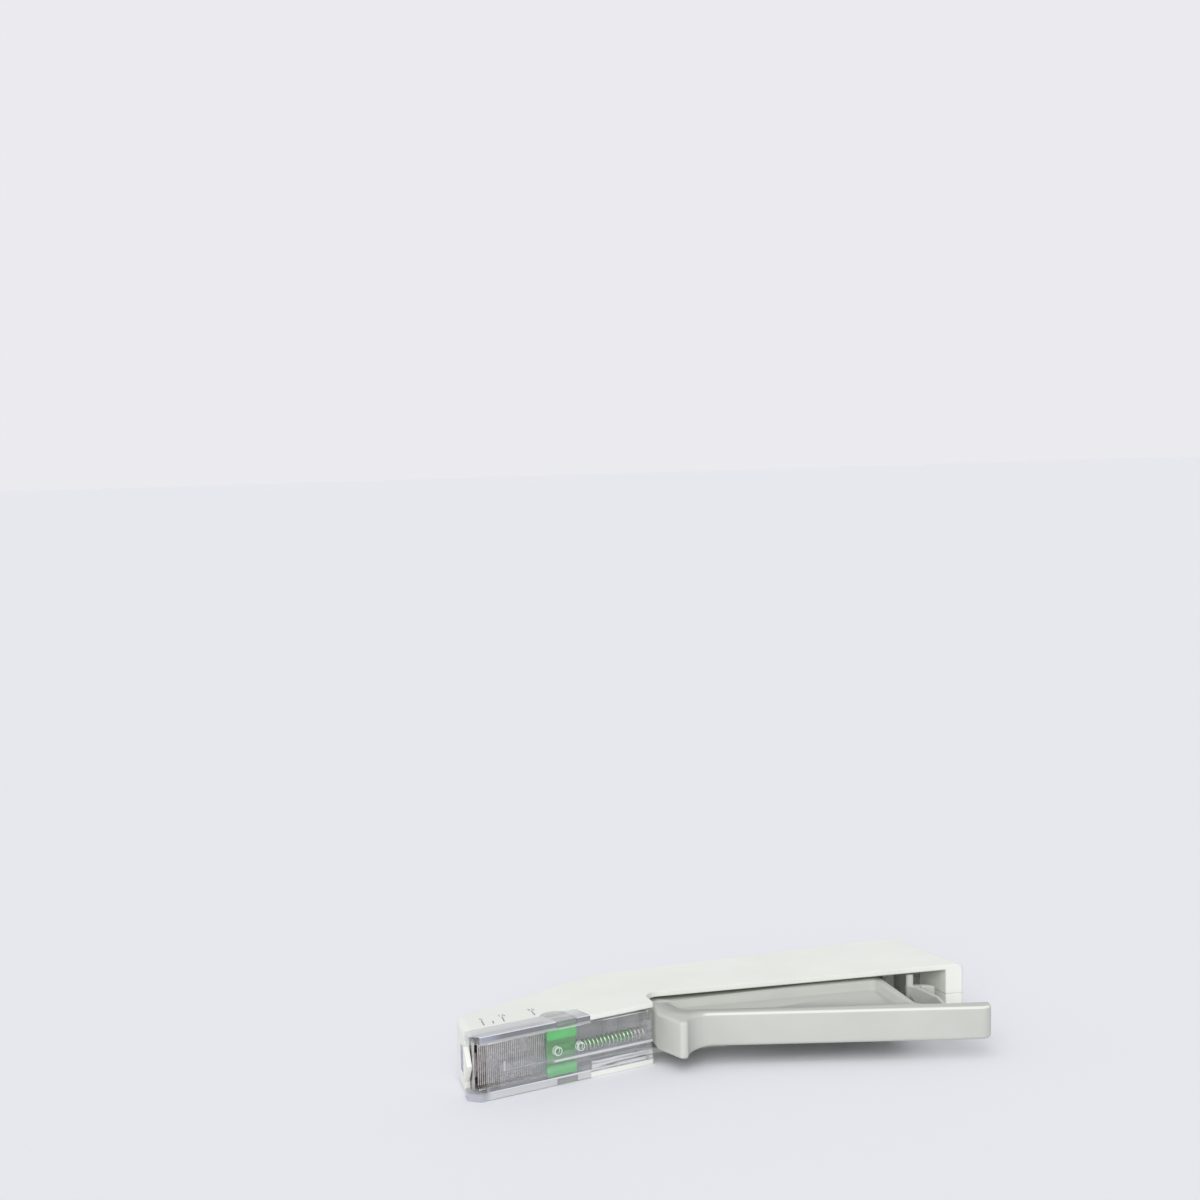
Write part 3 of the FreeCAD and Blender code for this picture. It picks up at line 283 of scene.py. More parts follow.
def copies(piece, count, step):
    """More of the same piece, each with its own mesh, one step after another."""
    made = [piece]
    for index in range(1, count):
        make_active(piece)
        bpy.ops.object.duplicate(linked=False)
        twin = bpy.context.view_layer.objects.active
        twin.location = piece.location + Vector(step) * index
        made.append(twin)
    return made


def lettering(name, words, size, centre, back):
    """Thin printed figures that lie on the upper side, or on the lower one when back is set."""
    deselect()
    bpy.ops.object.text_add(location=centre, rotation=(0, math.pi if back else 0, 0))
    piece = bpy.context.view_layer.objects.active
    piece.name = name
    piece.data.body = words
    piece.data.size = size
    piece.data.align_x = "CENTER"
    piece.data.align_y = "CENTER"
    piece.data.extrude = PRINT / 2
    make_active(piece)
    bpy.ops.object.convert(target="MESH")
    settle(piece)
    return piece


# shader maths


class Value:
    """A shader socket that Python's own operators work on."""

    def __init__(self, tree, socket):
        self.tree = tree
        self.socket = socket

    def math(self, operation, first, second):
        return self.tree.node("ShaderNodeMath", {"operation": operation}, {0: first, 1: second})

    def __add__(self, other):
        return self.math("ADD", self, other)

    def __sub__(self, other):
        return self.math("SUBTRACT", self, other)

    def __rsub__(self, other):
        return self.math("SUBTRACT", other, self)

    def __mul__(self, other):
        return self.math("MULTIPLY", self, other)

    __radd__ = __add__
    __rmul__ = __mul__

    def above(self, low, high):
        """Runs from 0 at low to 1 at high."""
        ends = {"Value": self, "From Min": low, "From Max": high}
        return self.tree.node("ShaderNodeMapRange", {"interpolation_type": "SMOOTHSTEP"}, ends)

    def between(self, low, high, soft=0.08):
        """1 from low to high, falling to 0 on both sides."""
        return self.above(low - soft, low) * (1 - self.above(high, high + soft))


class Tree:
    """Nodes that expressions add to."""

    def __init__(self, tree):
        self.tree = tree

    def node(self, kind, settings=None, inputs=None, output=0):
        made = self.tree.nodes.new(kind)
        for name, value in (settings or {}).items():
            setattr(made, name, value)
        for key, value in (inputs or {}).items():
            self.feed(made.inputs[key], value)
        return Value(self, made.outputs[output])

    def feed(self, socket, value):
        if isinstance(value, Value):
            self.tree.links.new(value.socket, socket)
        elif socket.type == "RGBA":
            socket.default_value = tuple(value)[:3] + (1,)
        else:
            socket.default_value = value

    def parts(self, value):
        """All the outputs of the node that a value comes from."""
        return [Value(self, socket) for socket in value.socket.node.outputs]


class Finish(Tree):
    """A node material that expressions fill in."""

    def __init__(self, name, metallic=0.0, coat=0.0):
        self.material = bpy.data.materials.new(name)
        self.material.use_nodes = True
        super().__init__(self.material.node_tree)
        self.shader = self.tree.nodes["Principled BSDF"]
        self.set("Metallic", metallic)
        self.set("Coat Weight", coat)

    def set(self, name, value):
        self.feed(self.shader.inputs[name], value)

    def spot(self, turn=0.0):
        """Millimetres from the nose corner, along axes that are turned about Z."""
        start = Matrix.Rotation(-turn, 3, "Z") @ (NOSE * -TO_MM)
        coordinates = self.node("ShaderNodeTexCoord", output=3)
        moved = {
            "Vector": coordinates,
            "Location": start,
            "Rotation": (0, 0, -turn),
            "Scale": (TO_MM, TO_MM, TO_MM),
        }
        turned = self.node("ShaderNodeMapping", None, moved)
        return self.parts(self.node("ShaderNodeSeparateXYZ", None, {"Vector": turned}))

    def noise(self, scale, detail=3.0, roughness=0.5, stretch=(1, 1, 1)):
        """Cloudy noise on Object coordinates, which may be stretched."""
        coordinates = self.node("ShaderNodeTexCoord", output=3)
        placed = self.node("ShaderNodeMapping", None, {"Vector": coordinates, "Scale": stretch})
        look = {"Vector": placed, "Scale": scale, "Detail": detail, "Roughness": roughness}
        return self.node("ShaderNodeTexNoise", None, look)

    def streaks(self, along, up, height, scale):
        """Noise drawn out twentyfold along the magazine."""
        drawn = self.node("ShaderNodeCombineXYZ", None, {0: along * 0.05, 1: up, 2: height})
        return self.node("ShaderNodeTexNoise", None, {"Vector": drawn, "Scale": scale, "Detail": 3})

    def tint(self, low, high, factor):
        """A colour between two, by a value."""
        blend = {0: factor, 6: low, 7: high}
        return self.node("ShaderNodeMix", {"data_type": "RGBA"}, blend, output=2)

    def relief(self, height, strength, distance, edge=0.0):
        """Surface relief, over softened edges where edge is a radius in metres."""
        inputs = {"Height": height, "Strength": strength, "Distance": distance}
        if edge:
            inputs["Normal"] = self.node("ShaderNodeBevel", {"samples": 6}, {"Radius": edge})
        self.set("Normal", self.node("ShaderNodeBump", None, inputs))

    def edge_mask(self, radius):
        """1 on sharp edges, 0 on flat places: how far the softened normal leaves the true one."""
        soft = self.node("ShaderNodeBevel", {"samples": 6}, {"Radius": radius})
        true = self.node("ShaderNodeNewGeometry", output=1)
        alike = self.node(
            "ShaderNodeVectorMath", {"operation": "DOT_PRODUCT"}, {0: soft, 1: true}, output=1
        )
        return (1 - alike).above(0.02, 0.25)


def dress(finish, *names):
    """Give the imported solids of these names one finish."""
    for name in names:
        piece = NODES[name]
        for slot in piece.material_slots:
            slot.material = finish.material


def paint(piece, finish, body):
    """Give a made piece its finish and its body."""
    piece.data.materials.clear()
    piece.data.materials.append(finish.material)
    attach(piece, body)


def moulded(name, dark, light, edge, grain=1.0, edge_highlight_strength=0.35, bands=()):
    """Moulded plastic with a faint spark-eroded grain, uneven gloss and a painted highlight that makes
    its edges paler.

    Each band is a function that gives a mask for a place on the body, and a colour of painted light or
    shade.
    """
    finish = Finish(name)
    cloud = finish.noise(60, 3)
    fine = finish.noise(2600, 2)
    face = finish.tint(dark, light, cloud.above(0.3, 0.7))
    # painted highlight: edges are tinted towards white where the softened normal leaves the true one
    edge_highlight_colour = [colour + (1 - colour) * 0.5 for colour in light]
    shade = finish.tint(face, edge_highlight_colour, finish.edge_mask(edge) * edge_highlight_strength)
    across, up, height = finish.spot()
    place = SimpleNamespace(across=across, up=up, height=height)
    for mask_of, band_colour in bands:
        shade = finish.tint(shade, band_colour, mask_of(place))
    finish.set("Base Color", shade)
    finish.set("Roughness", cloud * 0.1 + 0.53)
    finish.relief(fine * grain, 0.12, 0.0002, edge)
    return finish


def steel(name, colour, roughness, stretch=(1, 1, 1)):
    """Rolled steel with a grain that may be drawn along one way."""
    finish = Finish(name, metallic=1.0)
    drawn = finish.noise(900, 3, 0.6, stretch)
    bright = [min(1, part * 1.18) for part in colour]
    dull = [part * 0.8 for part in colour]
    finish.set("Base Color", finish.tint(dull, bright, drawn.above(0.3, 0.7)))
    finish.set("Roughness", drawn * 0.16 + roughness)
    finish.relief(drawn, 0.15, 0.00005)
    return finish


def clear_plastic(name, colour, flat, rim, bands):
    """Clear plastic, milkier towards its edges, with the light and shade of its thick walls.

    Each band is a function that gives a mask for a place on the magazine and the painted
    highlight streak there, a colour and an alpha.
    """
    finish = Finish(name, coat=0.5)
    edge = finish.node("ShaderNodeLayerWeight", None, {"Blend": 0.3}, output=1)
    ripple = finish.noise(260, 2)
    along, up, height = finish.spot(TILT)
    highlight_streak = finish.streaks(along, up, height, 1.3).above(0.38, 0.62)
    # painted highlights: the colour is paler along the drawn-out streaks
    shade = finish.tint(colour, [part + (1 - part) * 0.6 for part in colour], highlight_streak)
    cover = edge * edge * (rim - flat) + flat + highlight_streak * 0.03
    place = SimpleNamespace(along=along, up=up, height=height, highlight_streak=highlight_streak)
    for mask_of, band_colour, band_alpha in bands:
        mask = mask_of(place)
        shade = finish.tint(shade, band_colour, mask)
        cover = cover * (1 - mask) + mask * band_alpha
    finish.set("Base Color", shade)
    finish.set("Roughness", ripple * 0.08 + 0.04)
    finish.set("Alpha", cover)
    finish.relief(ripple, 0.1, 0.0003, 0.0002)
    return finish


# bands of light and shade, masks by place in millimetres


def ring(place, centre_along):
    """One of the two moulded rings on the magazine's underside."""
    across = place.along - centre_along
    over = place.height - 9.2
    return (across * across + over * over).between(0.95 * 0.95, 1.2 * 1.2, 0.15)


def underside(place):
    """The magazine's underside."""
    return place.up.between(-7.1, -6.85)


def lower_corner(place):
    """The corner that the magazine's side walls make with its underside."""
    return place.up.between(-7.1, -6.8)


def line_below(place, low, high, soft, front):
    """A line along the underside of the magazine's open front, between two heights."""
    return underside(place) * place.height.between(low, high, soft) * place.along.between(-1, front)


def cover_bands(front):
    """The cover's bands. Its open front part ends at front."""
    return (
        # the milky upper face and the painted highlight streaks along it
        (lambda at: at.height.above(17.05, 17.15), (0.76, 0.77, 0.78), 0.66),
        (
            lambda at: at.height.above(17.05, 17.15) * at.highlight_streak * at.up.between(-6.2, -4.6, 0.6),
            (0.9, 0.9, 0.9),
            0.5,
        ),
        # the upper wall seen from below, with the shade it reflects painted in: its dark line, bluer at
        # the mouth, and the grey beside it
        (lambda at: line_below(at, 15.7, 16.95, 0.25, front), (0.22, 0.235, 0.25), 0.72),
        (
            lambda at: underside(at) * at.height.between(15.7, 17.0, 0.3) * (1 - at.along.above(3, 8)),
            (0.42, 0.45, 0.55),
            0.62,
        ),
        (lambda at: line_below(at, 15.15, 15.6, 0.2, front), (0.60, 0.62, 0.62), 0.55),
        # the lower wall
        (lambda at: line_below(at, 0.3, 2.0, 0.2, front), (0.72, 0.735, 0.735), 0.72),
        # painted highlights along the walls' corners
        (lambda at: underside(at) * at.height.between(14.98, 15.1) * at.highlight_streak, (0.86, 0.84, 0.80), 0.8),
        (lambda at: lower_corner(at) * at.height.between(17.02, 17.3), (0.85, 0.85, 0.92), 0.8),
        (lambda at: lower_corner(at) * at.height.between(2.05, 2.25), (0.86, 0.86, 0.93), 0.8),
        # the shaded lower side of the mouth
        (
            lambda at: at.height.between(-0.1, 2.6, 0.8) * (1 - at.along.above(1.6, 4.2)),
            (0.60, 0.63, 0.68),
            0.5,
        ),
        # the two moulded rings
        (lambda at: ring(at, 24.4), (0.92, 0.95, 0.95), 0.6),
        (lambda at: ring(at, 31.6), (0.92, 0.95, 0.95), 0.6),
        # a painted highlight strip along the lower half, above the underside
        (
            lambda at: at.up.between(-6.1, -5.6, 0.2)
            * at.along.above(6.9, 7.0)
            * (1 - at.height.above(8.5, 8.7)),
            (0.80, 0.82, 0.88),
            0.35,
        ),
        # a painted highlight and a painted dark line of the rail inside, towards the rear, and painted
        # highlight streaks behind the open part
        (
            lambda at: underside(at) * at.height.between(6.4, 6.9, 0.15) * at.along.above(22, 24),
            (0.86, 0.88, 0.89),
            0.62,
        ),
        (
            lambda at: underside(at) * at.height.between(5.5, 5.9, 0.2) * at.along.above(33, 35),
            (0.25, 0.27, 0.28),
            0.35,
        ),
        (
            lambda at: underside(at)
            * at.height.between(1.6, 4.6, 0.4)
            * at.along.above(front, front + 0.5)
            * at.highlight_streak,
            (0.84, 0.86, 0.87),
            0.66,
        ),
        # the small pale mark behind the mouth
        (
            lambda at: underside(at)
            * at.height.between(7.2, 9.6, 0.3)
            * at.along.between(7.6, 8.0, 0.2),
            (0.82, 0.82, 0.85),
            0.4,
        ),
    )


# the clip's pale top, and its underside, darker in its upper half
CLIP_BANDS = (
    (lambda at: at.up.above(-0.6, 0.1), (0.68, 0.70, 0.66), 0.62),
    (lambda at: underside(at) * at.height.above(8, 9), (0.22, 0.27, 0.23), 0.62),
    (lambda at: underside(at) * (1 - at.height.above(8, 9)), (0.42, 0.45, 0.42), 0.66),
)


def nose_recess(place):
    """The recess in the front of the nose, where a bluish painted shade and reflection go."""
    ahead = 1 - (place.across - place.up * NOSE_SLANT).above(0.8, 1.0)
    return ahead * place.up.between(1.0, 7.6) * place.height.between(5.2, 12.0)


def over_slant(place):
    """How high above the nose corner a line through a place passes, along the trigger's slant."""
    return place.up + place.across * 0.2475


def pocket_floor(place):
    """The floor of the pocket in the trigger's upper face, darkened by painted shade."""
    inside = place.height.between(11.7, 12.3, 0.2) * place.across.between(60, 123)
    return inside * over_slant(place).above(23.4, 24.4)


def grip_face(place):
    """The trigger's upper face, darkened a little by painted shade."""
    return place.height.above(14.4, 14.48) * place.across.above(53, 54)


def tooth_front(place):
    """The front of the trigger, under its upper face, lightened by painted light."""
    return place.across.between(50, 59, 1.5) * (1 - place.height.above(14.0, 14.4))


def painted_rim_highlight(place):
    """The painted highlight that makes the edge of the trigger's upper face pale, along its lower side.
    """
    edge = place.height.between(13.95, 14.35, 0.15) * place.across.above(66, 68)
    return edge * (1 - over_slant(place).above(22.8, 23.8))


# where the scale's ticks start and end on a shell, in millimetres from the nose corner
MARKS = (
    ("5", (6.60, 8.5), (6.31, 4.0)),
    ("", (9.36, 7.3), (9.09, 5.0)),
    ("15", (12.55, 10.3), (12.19, 5.8)),
    ("35", (21.32, 13.1), (21.30, 9.0)),
)

# the camera: where it stands in the frame, its axes as columns, and the turn about Z after them
CAMERA_PLACE = (-0.200771, -0.599736, 0.19131)
CAMERA_AXES = Matrix(
    (
        (0.8994, 0.059, -0.4331),
        (-0.4369, 0.0876, -0.8953),
        (-0.0149, 0.9944, 0.1046),
    )
)
CAMERA_TURN = math.radians(9.98964)

# settings


class HousingSettings(bpy.types.PropertyGroup):
    light: FloatVectorProperty(
        name="Shell colour",
        description="Lighter tone of the white shells",
        subtype="COLOR",
        default=(0.81, 0.835, 0.77),
    )
    dark: FloatVectorProperty(
        name="Shell shade",
        description="Darker tone of the white shells",
        subtype="COLOR",
        default=(0.78, 0.805, 0.74),
    )
    edge: FloatProperty(
        name="Edge softness",
        description="Radius of the softened edges",
        unit="LENGTH",
        default=0.0006,
    )


class TriggerSettings(bpy.types.PropertyGroup):
    light: FloatVectorProperty(
        name="Trigger colour",
        description="Lighter tone of the grey trigger",
        subtype="COLOR",
        default=(0.52, 0.535, 0.488),
    )
    dark: FloatVectorProperty(
        name="Trigger shade",
        description="Darker tone of the grey trigger",
        subtype="COLOR",
        default=(0.484, 0.50, 0.457),
    )
    edge: FloatProperty(
        name="Edge softness",
        description="Radius of the softened edges",
        unit="LENGTH",
        default=0.0007,
    )
    thinner: FloatProperty(
        name="Thinner by",
        description="How far the lower face of the grip is raised",
        unit="LENGTH",
        default=0.0026,
    )
    tail_lift: FloatVectorProperty(
        name="Tail lift",
        description="How far the end of the grip is swept up",
        subtype="TRANSLATION",
        default=(0.0023, 0.0020, 0.0),
    )
    tooth_reach: FloatProperty(
        name="Tooth reach",
        description="How far behind the tooth the lower face slopes",
        unit="LENGTH",
        default=0.008,
    )
    tail_reach: FloatProperty(
        name="Tail reach",
        description="How far ahead of the tail its sweep starts",
        unit="LENGTH",
        default=0.034,
    )


class MagazineSettings(bpy.types.PropertyGroup):
    clear: FloatVectorProperty(
        name="Clear plastic",
        description="Tint of the clear magazine",
        subtype="COLOR",
        default=(0.62, 0.64, 0.68),
    )
    smoke: FloatVectorProperty(
        name="Clip plastic",
        description="Tint of the smoked clip",
        subtype="COLOR",
        default=(0.52, 0.55, 0.52),
    )
    green: FloatVectorProperty(
        name="Pusher colour",
        description="Colour of the green pusher",
        subtype="COLOR",
        default=(0.03, 0.56, 0.07),
    )
    # the deeper green painted into the pusher's middle as shade
    shaded_green: FloatVectorProperty(
        name="Pusher shade",
        description="Deeper green of the pusher's middle",
        subtype="COLOR",
        default=(0.0, 0.26, 0.0),
    )
    front: FloatProperty(
        name="Open length", description="Length of the open front part", unit="LENGTH", default=0.0348
    )
    staples: IntProperty(name="Staples", description="Staples in the stack", default=35)
    wire: FloatProperty(
        name="Staple wire", description="Thickness of a staple's wire", unit="LENGTH", default=0.00055
    )
    staple_width: FloatProperty(
        name="Staple width", description="Width over a staple's legs", unit="LENGTH", default=0.0122
    )
    staple_leg: FloatProperty(
        name="Staple leg", description="Length of a staple's legs", unit="LENGTH", default=0.0037
    )
    stack_front: FloatProperty(
        name="Stack front", description="Where the first staple stands", unit="LENGTH", default=0.00325
    )
    spring_front: FloatProperty(
        name="Spring front",
        description="Where the spring meets the pusher",
        unit="LENGTH",
        default=0.03143,
    )
    spring_rear: FloatProperty(
        name="Spring rear",
        description="Where the spring meets its seat",
        unit="LENGTH",
        default=0.05372,
    )
    spring_radius: FloatProperty(
        name="Spring radius", description="Radius of the coil", unit="LENGTH", default=0.0016
    )
    spring_wire: FloatProperty(
        name="Spring wire", description="Thickness of the coil's wire", unit="LENGTH", default=0.0004
    )
    spring_turns: IntProperty(name="Spring turns", description="Turns of the coil", default=18)


class StageSettings(bpy.types.PropertyGroup):
    lens: FloatProperty(
        name="Lens",
        description="Focal length on a 36 mm wide sensor, in millimetres",
        default=70.36,
    )
    room: FloatProperty(name="Room light", description="Strength of the room's light", default=0.78)
    top_lamp: FloatProperty(name="Top lamp", description="Strength of the lamp above", default=0.52)
    front_lamp: FloatProperty(
        name="Front lamp", description="Strength of the lamp in front", default=1.4
    )
    floor: FloatVectorProperty(
        name="Floor colour",
        description="Colour of the table",
        subtype="COLOR",
        default=(0.80, 0.80, 0.835),
    )


# pieces


class STAPLER_OT_housing(bpy.types.Operator):
    """Finish the two white shells"""

    bl_idname = "stapler.housing"
    bl_label = "Housing"

    def execute(self, context):
        settings = context.scene.stapler_housing
        plastic = moulded(
            "white_shell_plastic",
            settings.dark,
            settings.light,
            settings.edge,
            edge_highlight_strength=0.7,
            # painted shade and bluish reflection in the nose recess
            bands=((nose_recess, (0.46, 0.46, 0.56)),),
        )
        dress(plastic, "left_shell", "right_shell")
        return {"FINISHED"}


class STAPLER_OT_trigger(bpy.types.Operator):
    """Shape and finish the grey trigger"""

    bl_idname = "stapler.trigger"
    bl_label = "Trigger"

    def execute(self, context):
        settings = context.scene.stapler_trigger
        # painted light and shade on the trigger: a shaded pocket floor and upper face, a lit tooth front
        # and a painted highlight along the upper face's edge
        bands = [
            (mask_of, [ratio * part for part in settings.light])
            for mask_of, ratio in (
                (pocket_floor, 0.86),
                (grip_face, 0.95),
                (tooth_front, 1.07),
                (painted_rim_highlight, 1.35),
            )
        ]
        plastic = moulded(
            "grey_trigger_plastic",
            settings.dark,
            settings.light,
            settings.edge,
            grain=1.4,
            bands=bands,
        )
        grip = twin_of("trigger", "grey_trigger")

        # stretches of the grip, by their place in millimetres from the nose corner
        def hook(place):
            return place.x > 129 and 4.5 < place.z < 5.5

        def under_arm(place):
            beside_hook = place.x > 129 and (place.z > 4.5 or place.y > -6)
            return place.x > 50 and place.z < 5.4 and not beside_hook

        def skin(place):
            return under_arm(place) and (place.z < 4.6 or place.x > 61)

        def lowered(place):
            return 50 < place.x < 61.5 and place.z < 6.5

        def tail(place):
            return place.x > 137 and place.y < -5

        # The lower face rises in two steps. The arm and the floor of the lower pocket take only the
        # first, so that pocket comes out shallow. The tooth then comes part of the way down again.
        move_part(grip, hook, (0, 0, settings.thinner * 0.5))
        move_part(grip, under_arm, (0, 0, settings.thinner * 0.2))
        move_part(grip, skin, (0, 0, settings.thinner * 0.8))
        move_part(grip, lowered, (0, 0, settings.thinner * -0.4), settings.tooth_reach)
        move_part(grip, tail, settings.tail_lift, settings.tail_reach)
        smooth(grip, 30)
        paint(grip, plastic, "trigger")
        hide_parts("trigger")
        return {"FINISHED"}


class STAPLER_OT_magazine(bpy.types.Operator):
    """Finish the clear magazine and its clip"""

    bl_idname = "stapler.magazine"
    bl_label = "Magazine"

    def execute(self, context):
        settings = context.scene.stapler_magazine
        bands = cover_bands(settings.front * TO_MM)
        clear = clear_plastic("clear_polycarbonate", settings.clear, 0.07, 0.55, bands)
        dress(clear, "cartridge_cover")
        inner = clear_plastic("clear_inner_polycarbonate", settings.clear, 0.22, 0.6, ())
        dress(inner, "cartridge_base", "spring_seat")
        smoke = clear_plastic("smoked_polycarbonate", settings.smoke, 0.5, 0.75, CLIP_BANDS)
        dress(smoke, "cartridge_clip")
        return {"FINISHED"}


class STAPLER_OT_pusher(bpy.types.Operator):
    """Finish the green pusher and wind its spring"""

    bl_idname = "stapler.pusher"
    bl_label = "Pusher"

    def execute(self, context):
        settings = context.scene.stapler_magazine
        plastic = Finish("green_pusher_plastic", coat=0.2)
        height = plastic.spot(TILT)[2]
        # painted shade: the pusher's middle is tinted a deeper green
        shaded_middle = height.between(5.4, 11.8, 0.7)
        cloud = plastic.noise(200, 3)
        dull = [0.85 * colour for colour in settings.green]
        light = plastic.tint(dull, settings.green, cloud.above(0.3, 0.7))
        plastic.set("Base Color", plastic.tint(light, settings.shaded_green, shaded_middle))
        plastic.set("Roughness", cloud * 0.15 + 0.25)
        plastic.relief(plastic.noise(2600, 2), 0.1, 0.0002, 0.0003)
        dress(plastic, "staple_pusher")

        front = settings.spring_front
        rear = settings.spring_rear
        spring = coil(
            "pusher_coil",
            settings.spring_radius,
            settings.spring_wire,
            settings.spring_turns,
            rear - front,
        )
        forward = Vector((math.cos(TILT), math.sin(TILT), 0))
        rod_up = -4.35
        start = on_magazine(front * TO_MM, rod_up, MIDDLE)
        place_piece(spring, start, (Vector((0, 0, 1)), forward.cross((0, 0, 1)), forward))
        smooth(spring, 60)
        wire = steel("bright_spring_wire", (0.78, 0.74, 0.71), 0.2)
        spring.data.materials.append(wire.material)
        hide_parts("pusher_spring")
        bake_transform(spring)
        return {"FINISHED"}


class STAPLER_OT_staples(bpy.types.Operator):
    """Bend one staple and stand the whole stack in the magazine"""

    bl_idname = "stapler.staples"
    bl_label = "Staples"

    def execute(self, context):
        settings = context.scene.stapler_magazine
        # the staples stand parallel to the nose, so they lean on the tilted magazine
        lean = math.tan(TILT + math.atan(NOSE_SLANT))
        across_rail = Vector((lean, 1)).normalized()
        pitch = settings.wire / across_rail.y
        rail_up = -1.9
        foot = settings.stack_front * TO_MM + rail_up * lean + 0.5 * pitch * TO_MM
        start = on_magazine(foot, rail_up, MIDDLE)
        staple = one_staple(
            "staples",
            half=settings.staple_width / 2,
            leg=settings.staple_leg,
            crown=0.0005,
            wire=settings.wire * 0.94,
            corner=0.0007,
        )
        forward = Vector((math.cos(TILT), math.sin(TILT), 0))
        square = Vector((-math.sin(TILT), math.cos(TILT), 0))
        rise = forward * across_rail.x + square * across_rail.y
        width = Vector((0, 0, 1))
        place_piece(staple, start, (width, rise, width.cross(rise)))
        stack = join("staples", copies(staple, settings.staples, forward * pitch))
        smooth(stack, 50)
        wire = steel("staple_wire", (0.53, 0.51, 0.49), 0.24)
        stack.data.materials.append(wire.material)
        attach(stack, "housing")
        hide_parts("staple_stack")
        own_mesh(stack)
        return {"FINISHED"}


class STAPLER_OT_print(bpy.types.Operator):
    """Print the scale of staples left on both shells"""

    bl_idname = "stapler.print"
    bl_label = "Scale"

    def execute(self, context):
        ink = Finish("scale_ink")
        worn = ink.noise(900, 3)
        full = (0.13, 0.14, 0.20)
        faded = (0.24, 0.25, 0.32)
        ink.set("Base Color", ink.tint(full, faded, worn.above(0.35, 0.65)))
        ink.set("Roughness", worn * 0.2 + 0.5)
        tick_width = 0.00034
        figure_size = 0.0023
        above_tick = Vector((0.0001, 0.0011, 0))
        for side, height, back in (("upper", THICKNESS, False), ("lower", 0.0, True)):
            pieces = []
            for words, top, bottom in MARKS:
                start = on_body(top[0], top[1], height)
                end = on_body(bottom[0], bottom[1], height)
                run = end - start
                size = (run.length, tick_width, PRINT)
                turn = math.atan2(run.y, run.x)
                pieces.append(bar("tick", size, (start + end) / 2, turn))
                if words:
                    pieces.append(lettering("figure", words, figure_size, start + above_tick, back))
            scale = join(side + "_scale", pieces)
            paint(scale, ink, "housing")
        return {"FINISHED"}


class STAPLER_OT_mechanism(bpy.types.Operator):
    """Finish the steel and plastic of the driving mechanism"""

    bl_idname = "stapler.mechanism"
    bl_label = "Mechanism"

    def execute(self, context):
        plate = steel("rolled_steel", (0.60, 0.57, 0.55), 0.24, (1, 8, 1))
        dress(plate, "nose_guide", "driver_blade", "drive_lever", "anvil_plate", "ejector_spring")
        turned = steel("turned_steel", (0.62, 0.61, 0.59), 0.2, (1, 1, 6))
        dress(turned, "pivot_pin", "drive_pin", "lever_rivets", "cartridge_pins")
        wire = steel("spring_wire", (0.66, 0.65, 0.63), 0.18)
        dress(wire, "return_spring")
        carrier = moulded("carrier_plastic", (0.8, 0.8, 0.78), (0.84, 0.84, 0.82), 0.0003)
        dress(carrier, "driver_carrier")
        return {"FINISHED"}


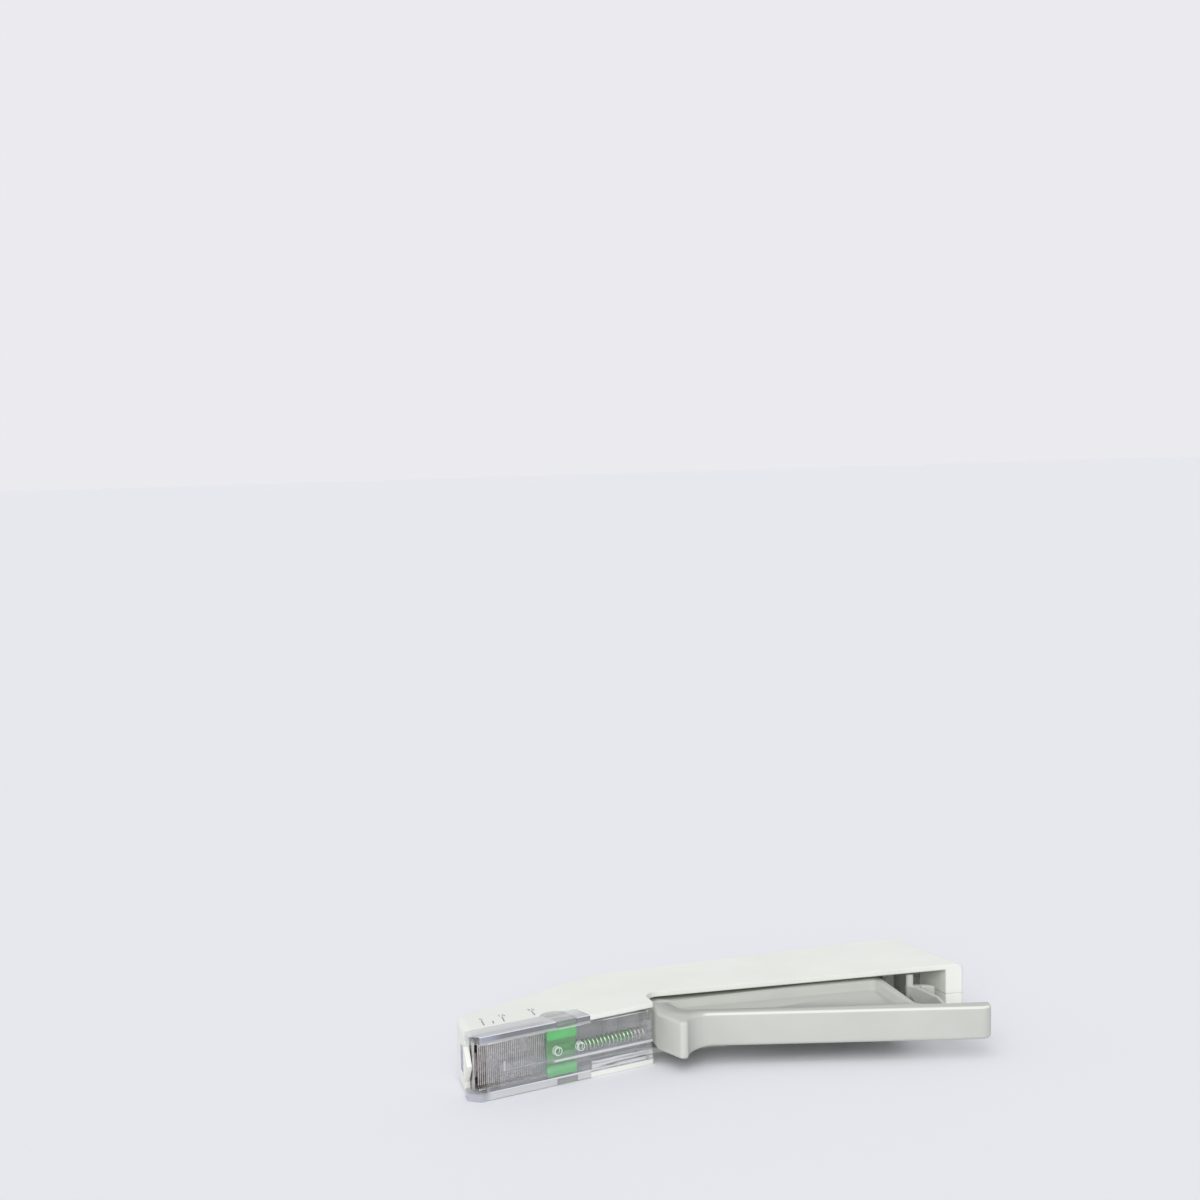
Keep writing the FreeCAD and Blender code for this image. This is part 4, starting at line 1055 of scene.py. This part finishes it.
class STAPLER_OT_stage(bpy.types.Operator):
    """Put down the floor, the lamps and the camera"""

    bl_idname = "stapler.stage"
    bl_label = "Stage"

    def execute(self, context):
        settings = context.scene.stapler_stage
        scene = context.scene
        scene.view_settings.view_transform = "Standard"
        deselect()
        bpy.ops.mesh.primitive_plane_add(size=6, location=(0, 0, -PRINT))
        floor = bpy.context.view_layer.objects.active
        floor.name = "floor"
        cover = Finish("pale_table")
        cover.set("Base Color", settings.floor)
        cover.set("Roughness", 0.7)
        floor.data.materials.append(cover.material)

        world = bpy.data.worlds.new("pale_room")
        scene.world = world
        world.use_nodes = True
        room = Tree(world.node_tree)
        rays = {ray.socket.name: ray for ray in room.parts(room.node("ShaderNodeLightPath"))}
        seen = rays["Is Camera Ray"] + rays["Is Glossy Ray"] + rays["Is Transmission Ray"]
        background = world.node_tree.nodes["Background"]
        room.feed(background.inputs["Color"], (0.83, 0.83, 0.865))
        level = {"Value": seen, "To Min": settings.room}
        room.feed(background.inputs["Strength"], room.node("ShaderNodeMapRange", None, level))

        for name, place, strength, spread in (
            ("top_lamp", (-0.4, -0.5, 1.2), settings.top_lamp, 50),
            ("front_lamp", (-0.6, -1.3, 0.7), settings.front_lamp, 40),
        ):
            lamp = bpy.data.lights.new(name, "SUN")
            lamp.angle = math.radians(spread)
            lamp.energy = strength
            holder = bpy.data.objects.new(name, lamp)
            holder.location = place
            holder.rotation_euler = (-Vector(place)).to_track_quat("-Z", "Y").to_euler()
            scene.collection.objects.link(holder)

        # the camera that was fitted to the photo
        camera = bpy.data.cameras.new("camera")
        camera.lens = settings.lens
        camera.sensor_width = 36
        camera.clip_start = 0.01
        holder = bpy.data.objects.new("camera", camera)
        turned = Matrix.Rotation(CAMERA_TURN, 3, "Z") @ CAMERA_AXES
        holder.matrix_world = Matrix.Translation(CAMERA_PLACE) @ turned.to_4x4()
        scene.collection.objects.link(holder)
        scene.camera = holder
        return {"FINISHED"}


class STAPLER_PT_panel(bpy.types.Panel):
    """Lists the operators that finish the stapler"""

    bl_label = "Skin Stapler"
    bl_idname = "STAPLER_PT_panel"
    bl_space_type = "VIEW_3D"
    bl_region_type = "UI"
    bl_category = "Stapler"

    def draw(self, context):
        for piece in OPERATORS:
            self.layout.operator(piece.bl_idname)


OPERATORS = (
    STAPLER_OT_housing,
    STAPLER_OT_trigger,
    STAPLER_OT_magazine,
    STAPLER_OT_pusher,
    STAPLER_OT_staples,
    STAPLER_OT_print,
    STAPLER_OT_mechanism,
    STAPLER_OT_stage,
)
SETTINGS = (
    ("stapler_housing", HousingSettings),
    ("stapler_trigger", TriggerSettings),
    ("stapler_magazine", MagazineSettings),
    ("stapler_stage", StageSettings),
)


def register():
    for name, group in SETTINGS:
        bpy.utils.register_class(group)
        setattr(bpy.types.Scene, name, PointerProperty(type=group))
    for piece in OPERATORS:
        bpy.utils.register_class(piece)
    bpy.utils.register_class(STAPLER_PT_panel)


def unregister():
    bpy.utils.unregister_class(STAPLER_PT_panel)
    for piece in reversed(OPERATORS):
        bpy.utils.unregister_class(piece)
    for name, group in reversed(SETTINGS):
        delattr(bpy.types.Scene, name)
        bpy.utils.unregister_class(group)


def main():
    register()
    bpy.ops.stapler.housing()
    bpy.ops.stapler.trigger()
    bpy.ops.stapler.magazine()
    bpy.ops.stapler.pusher()
    bpy.ops.stapler.staples()
    bpy.ops.stapler.print()
    bpy.ops.stapler.mechanism()
    bpy.ops.stapler.stage()


if __name__ == "__main__":
    main()
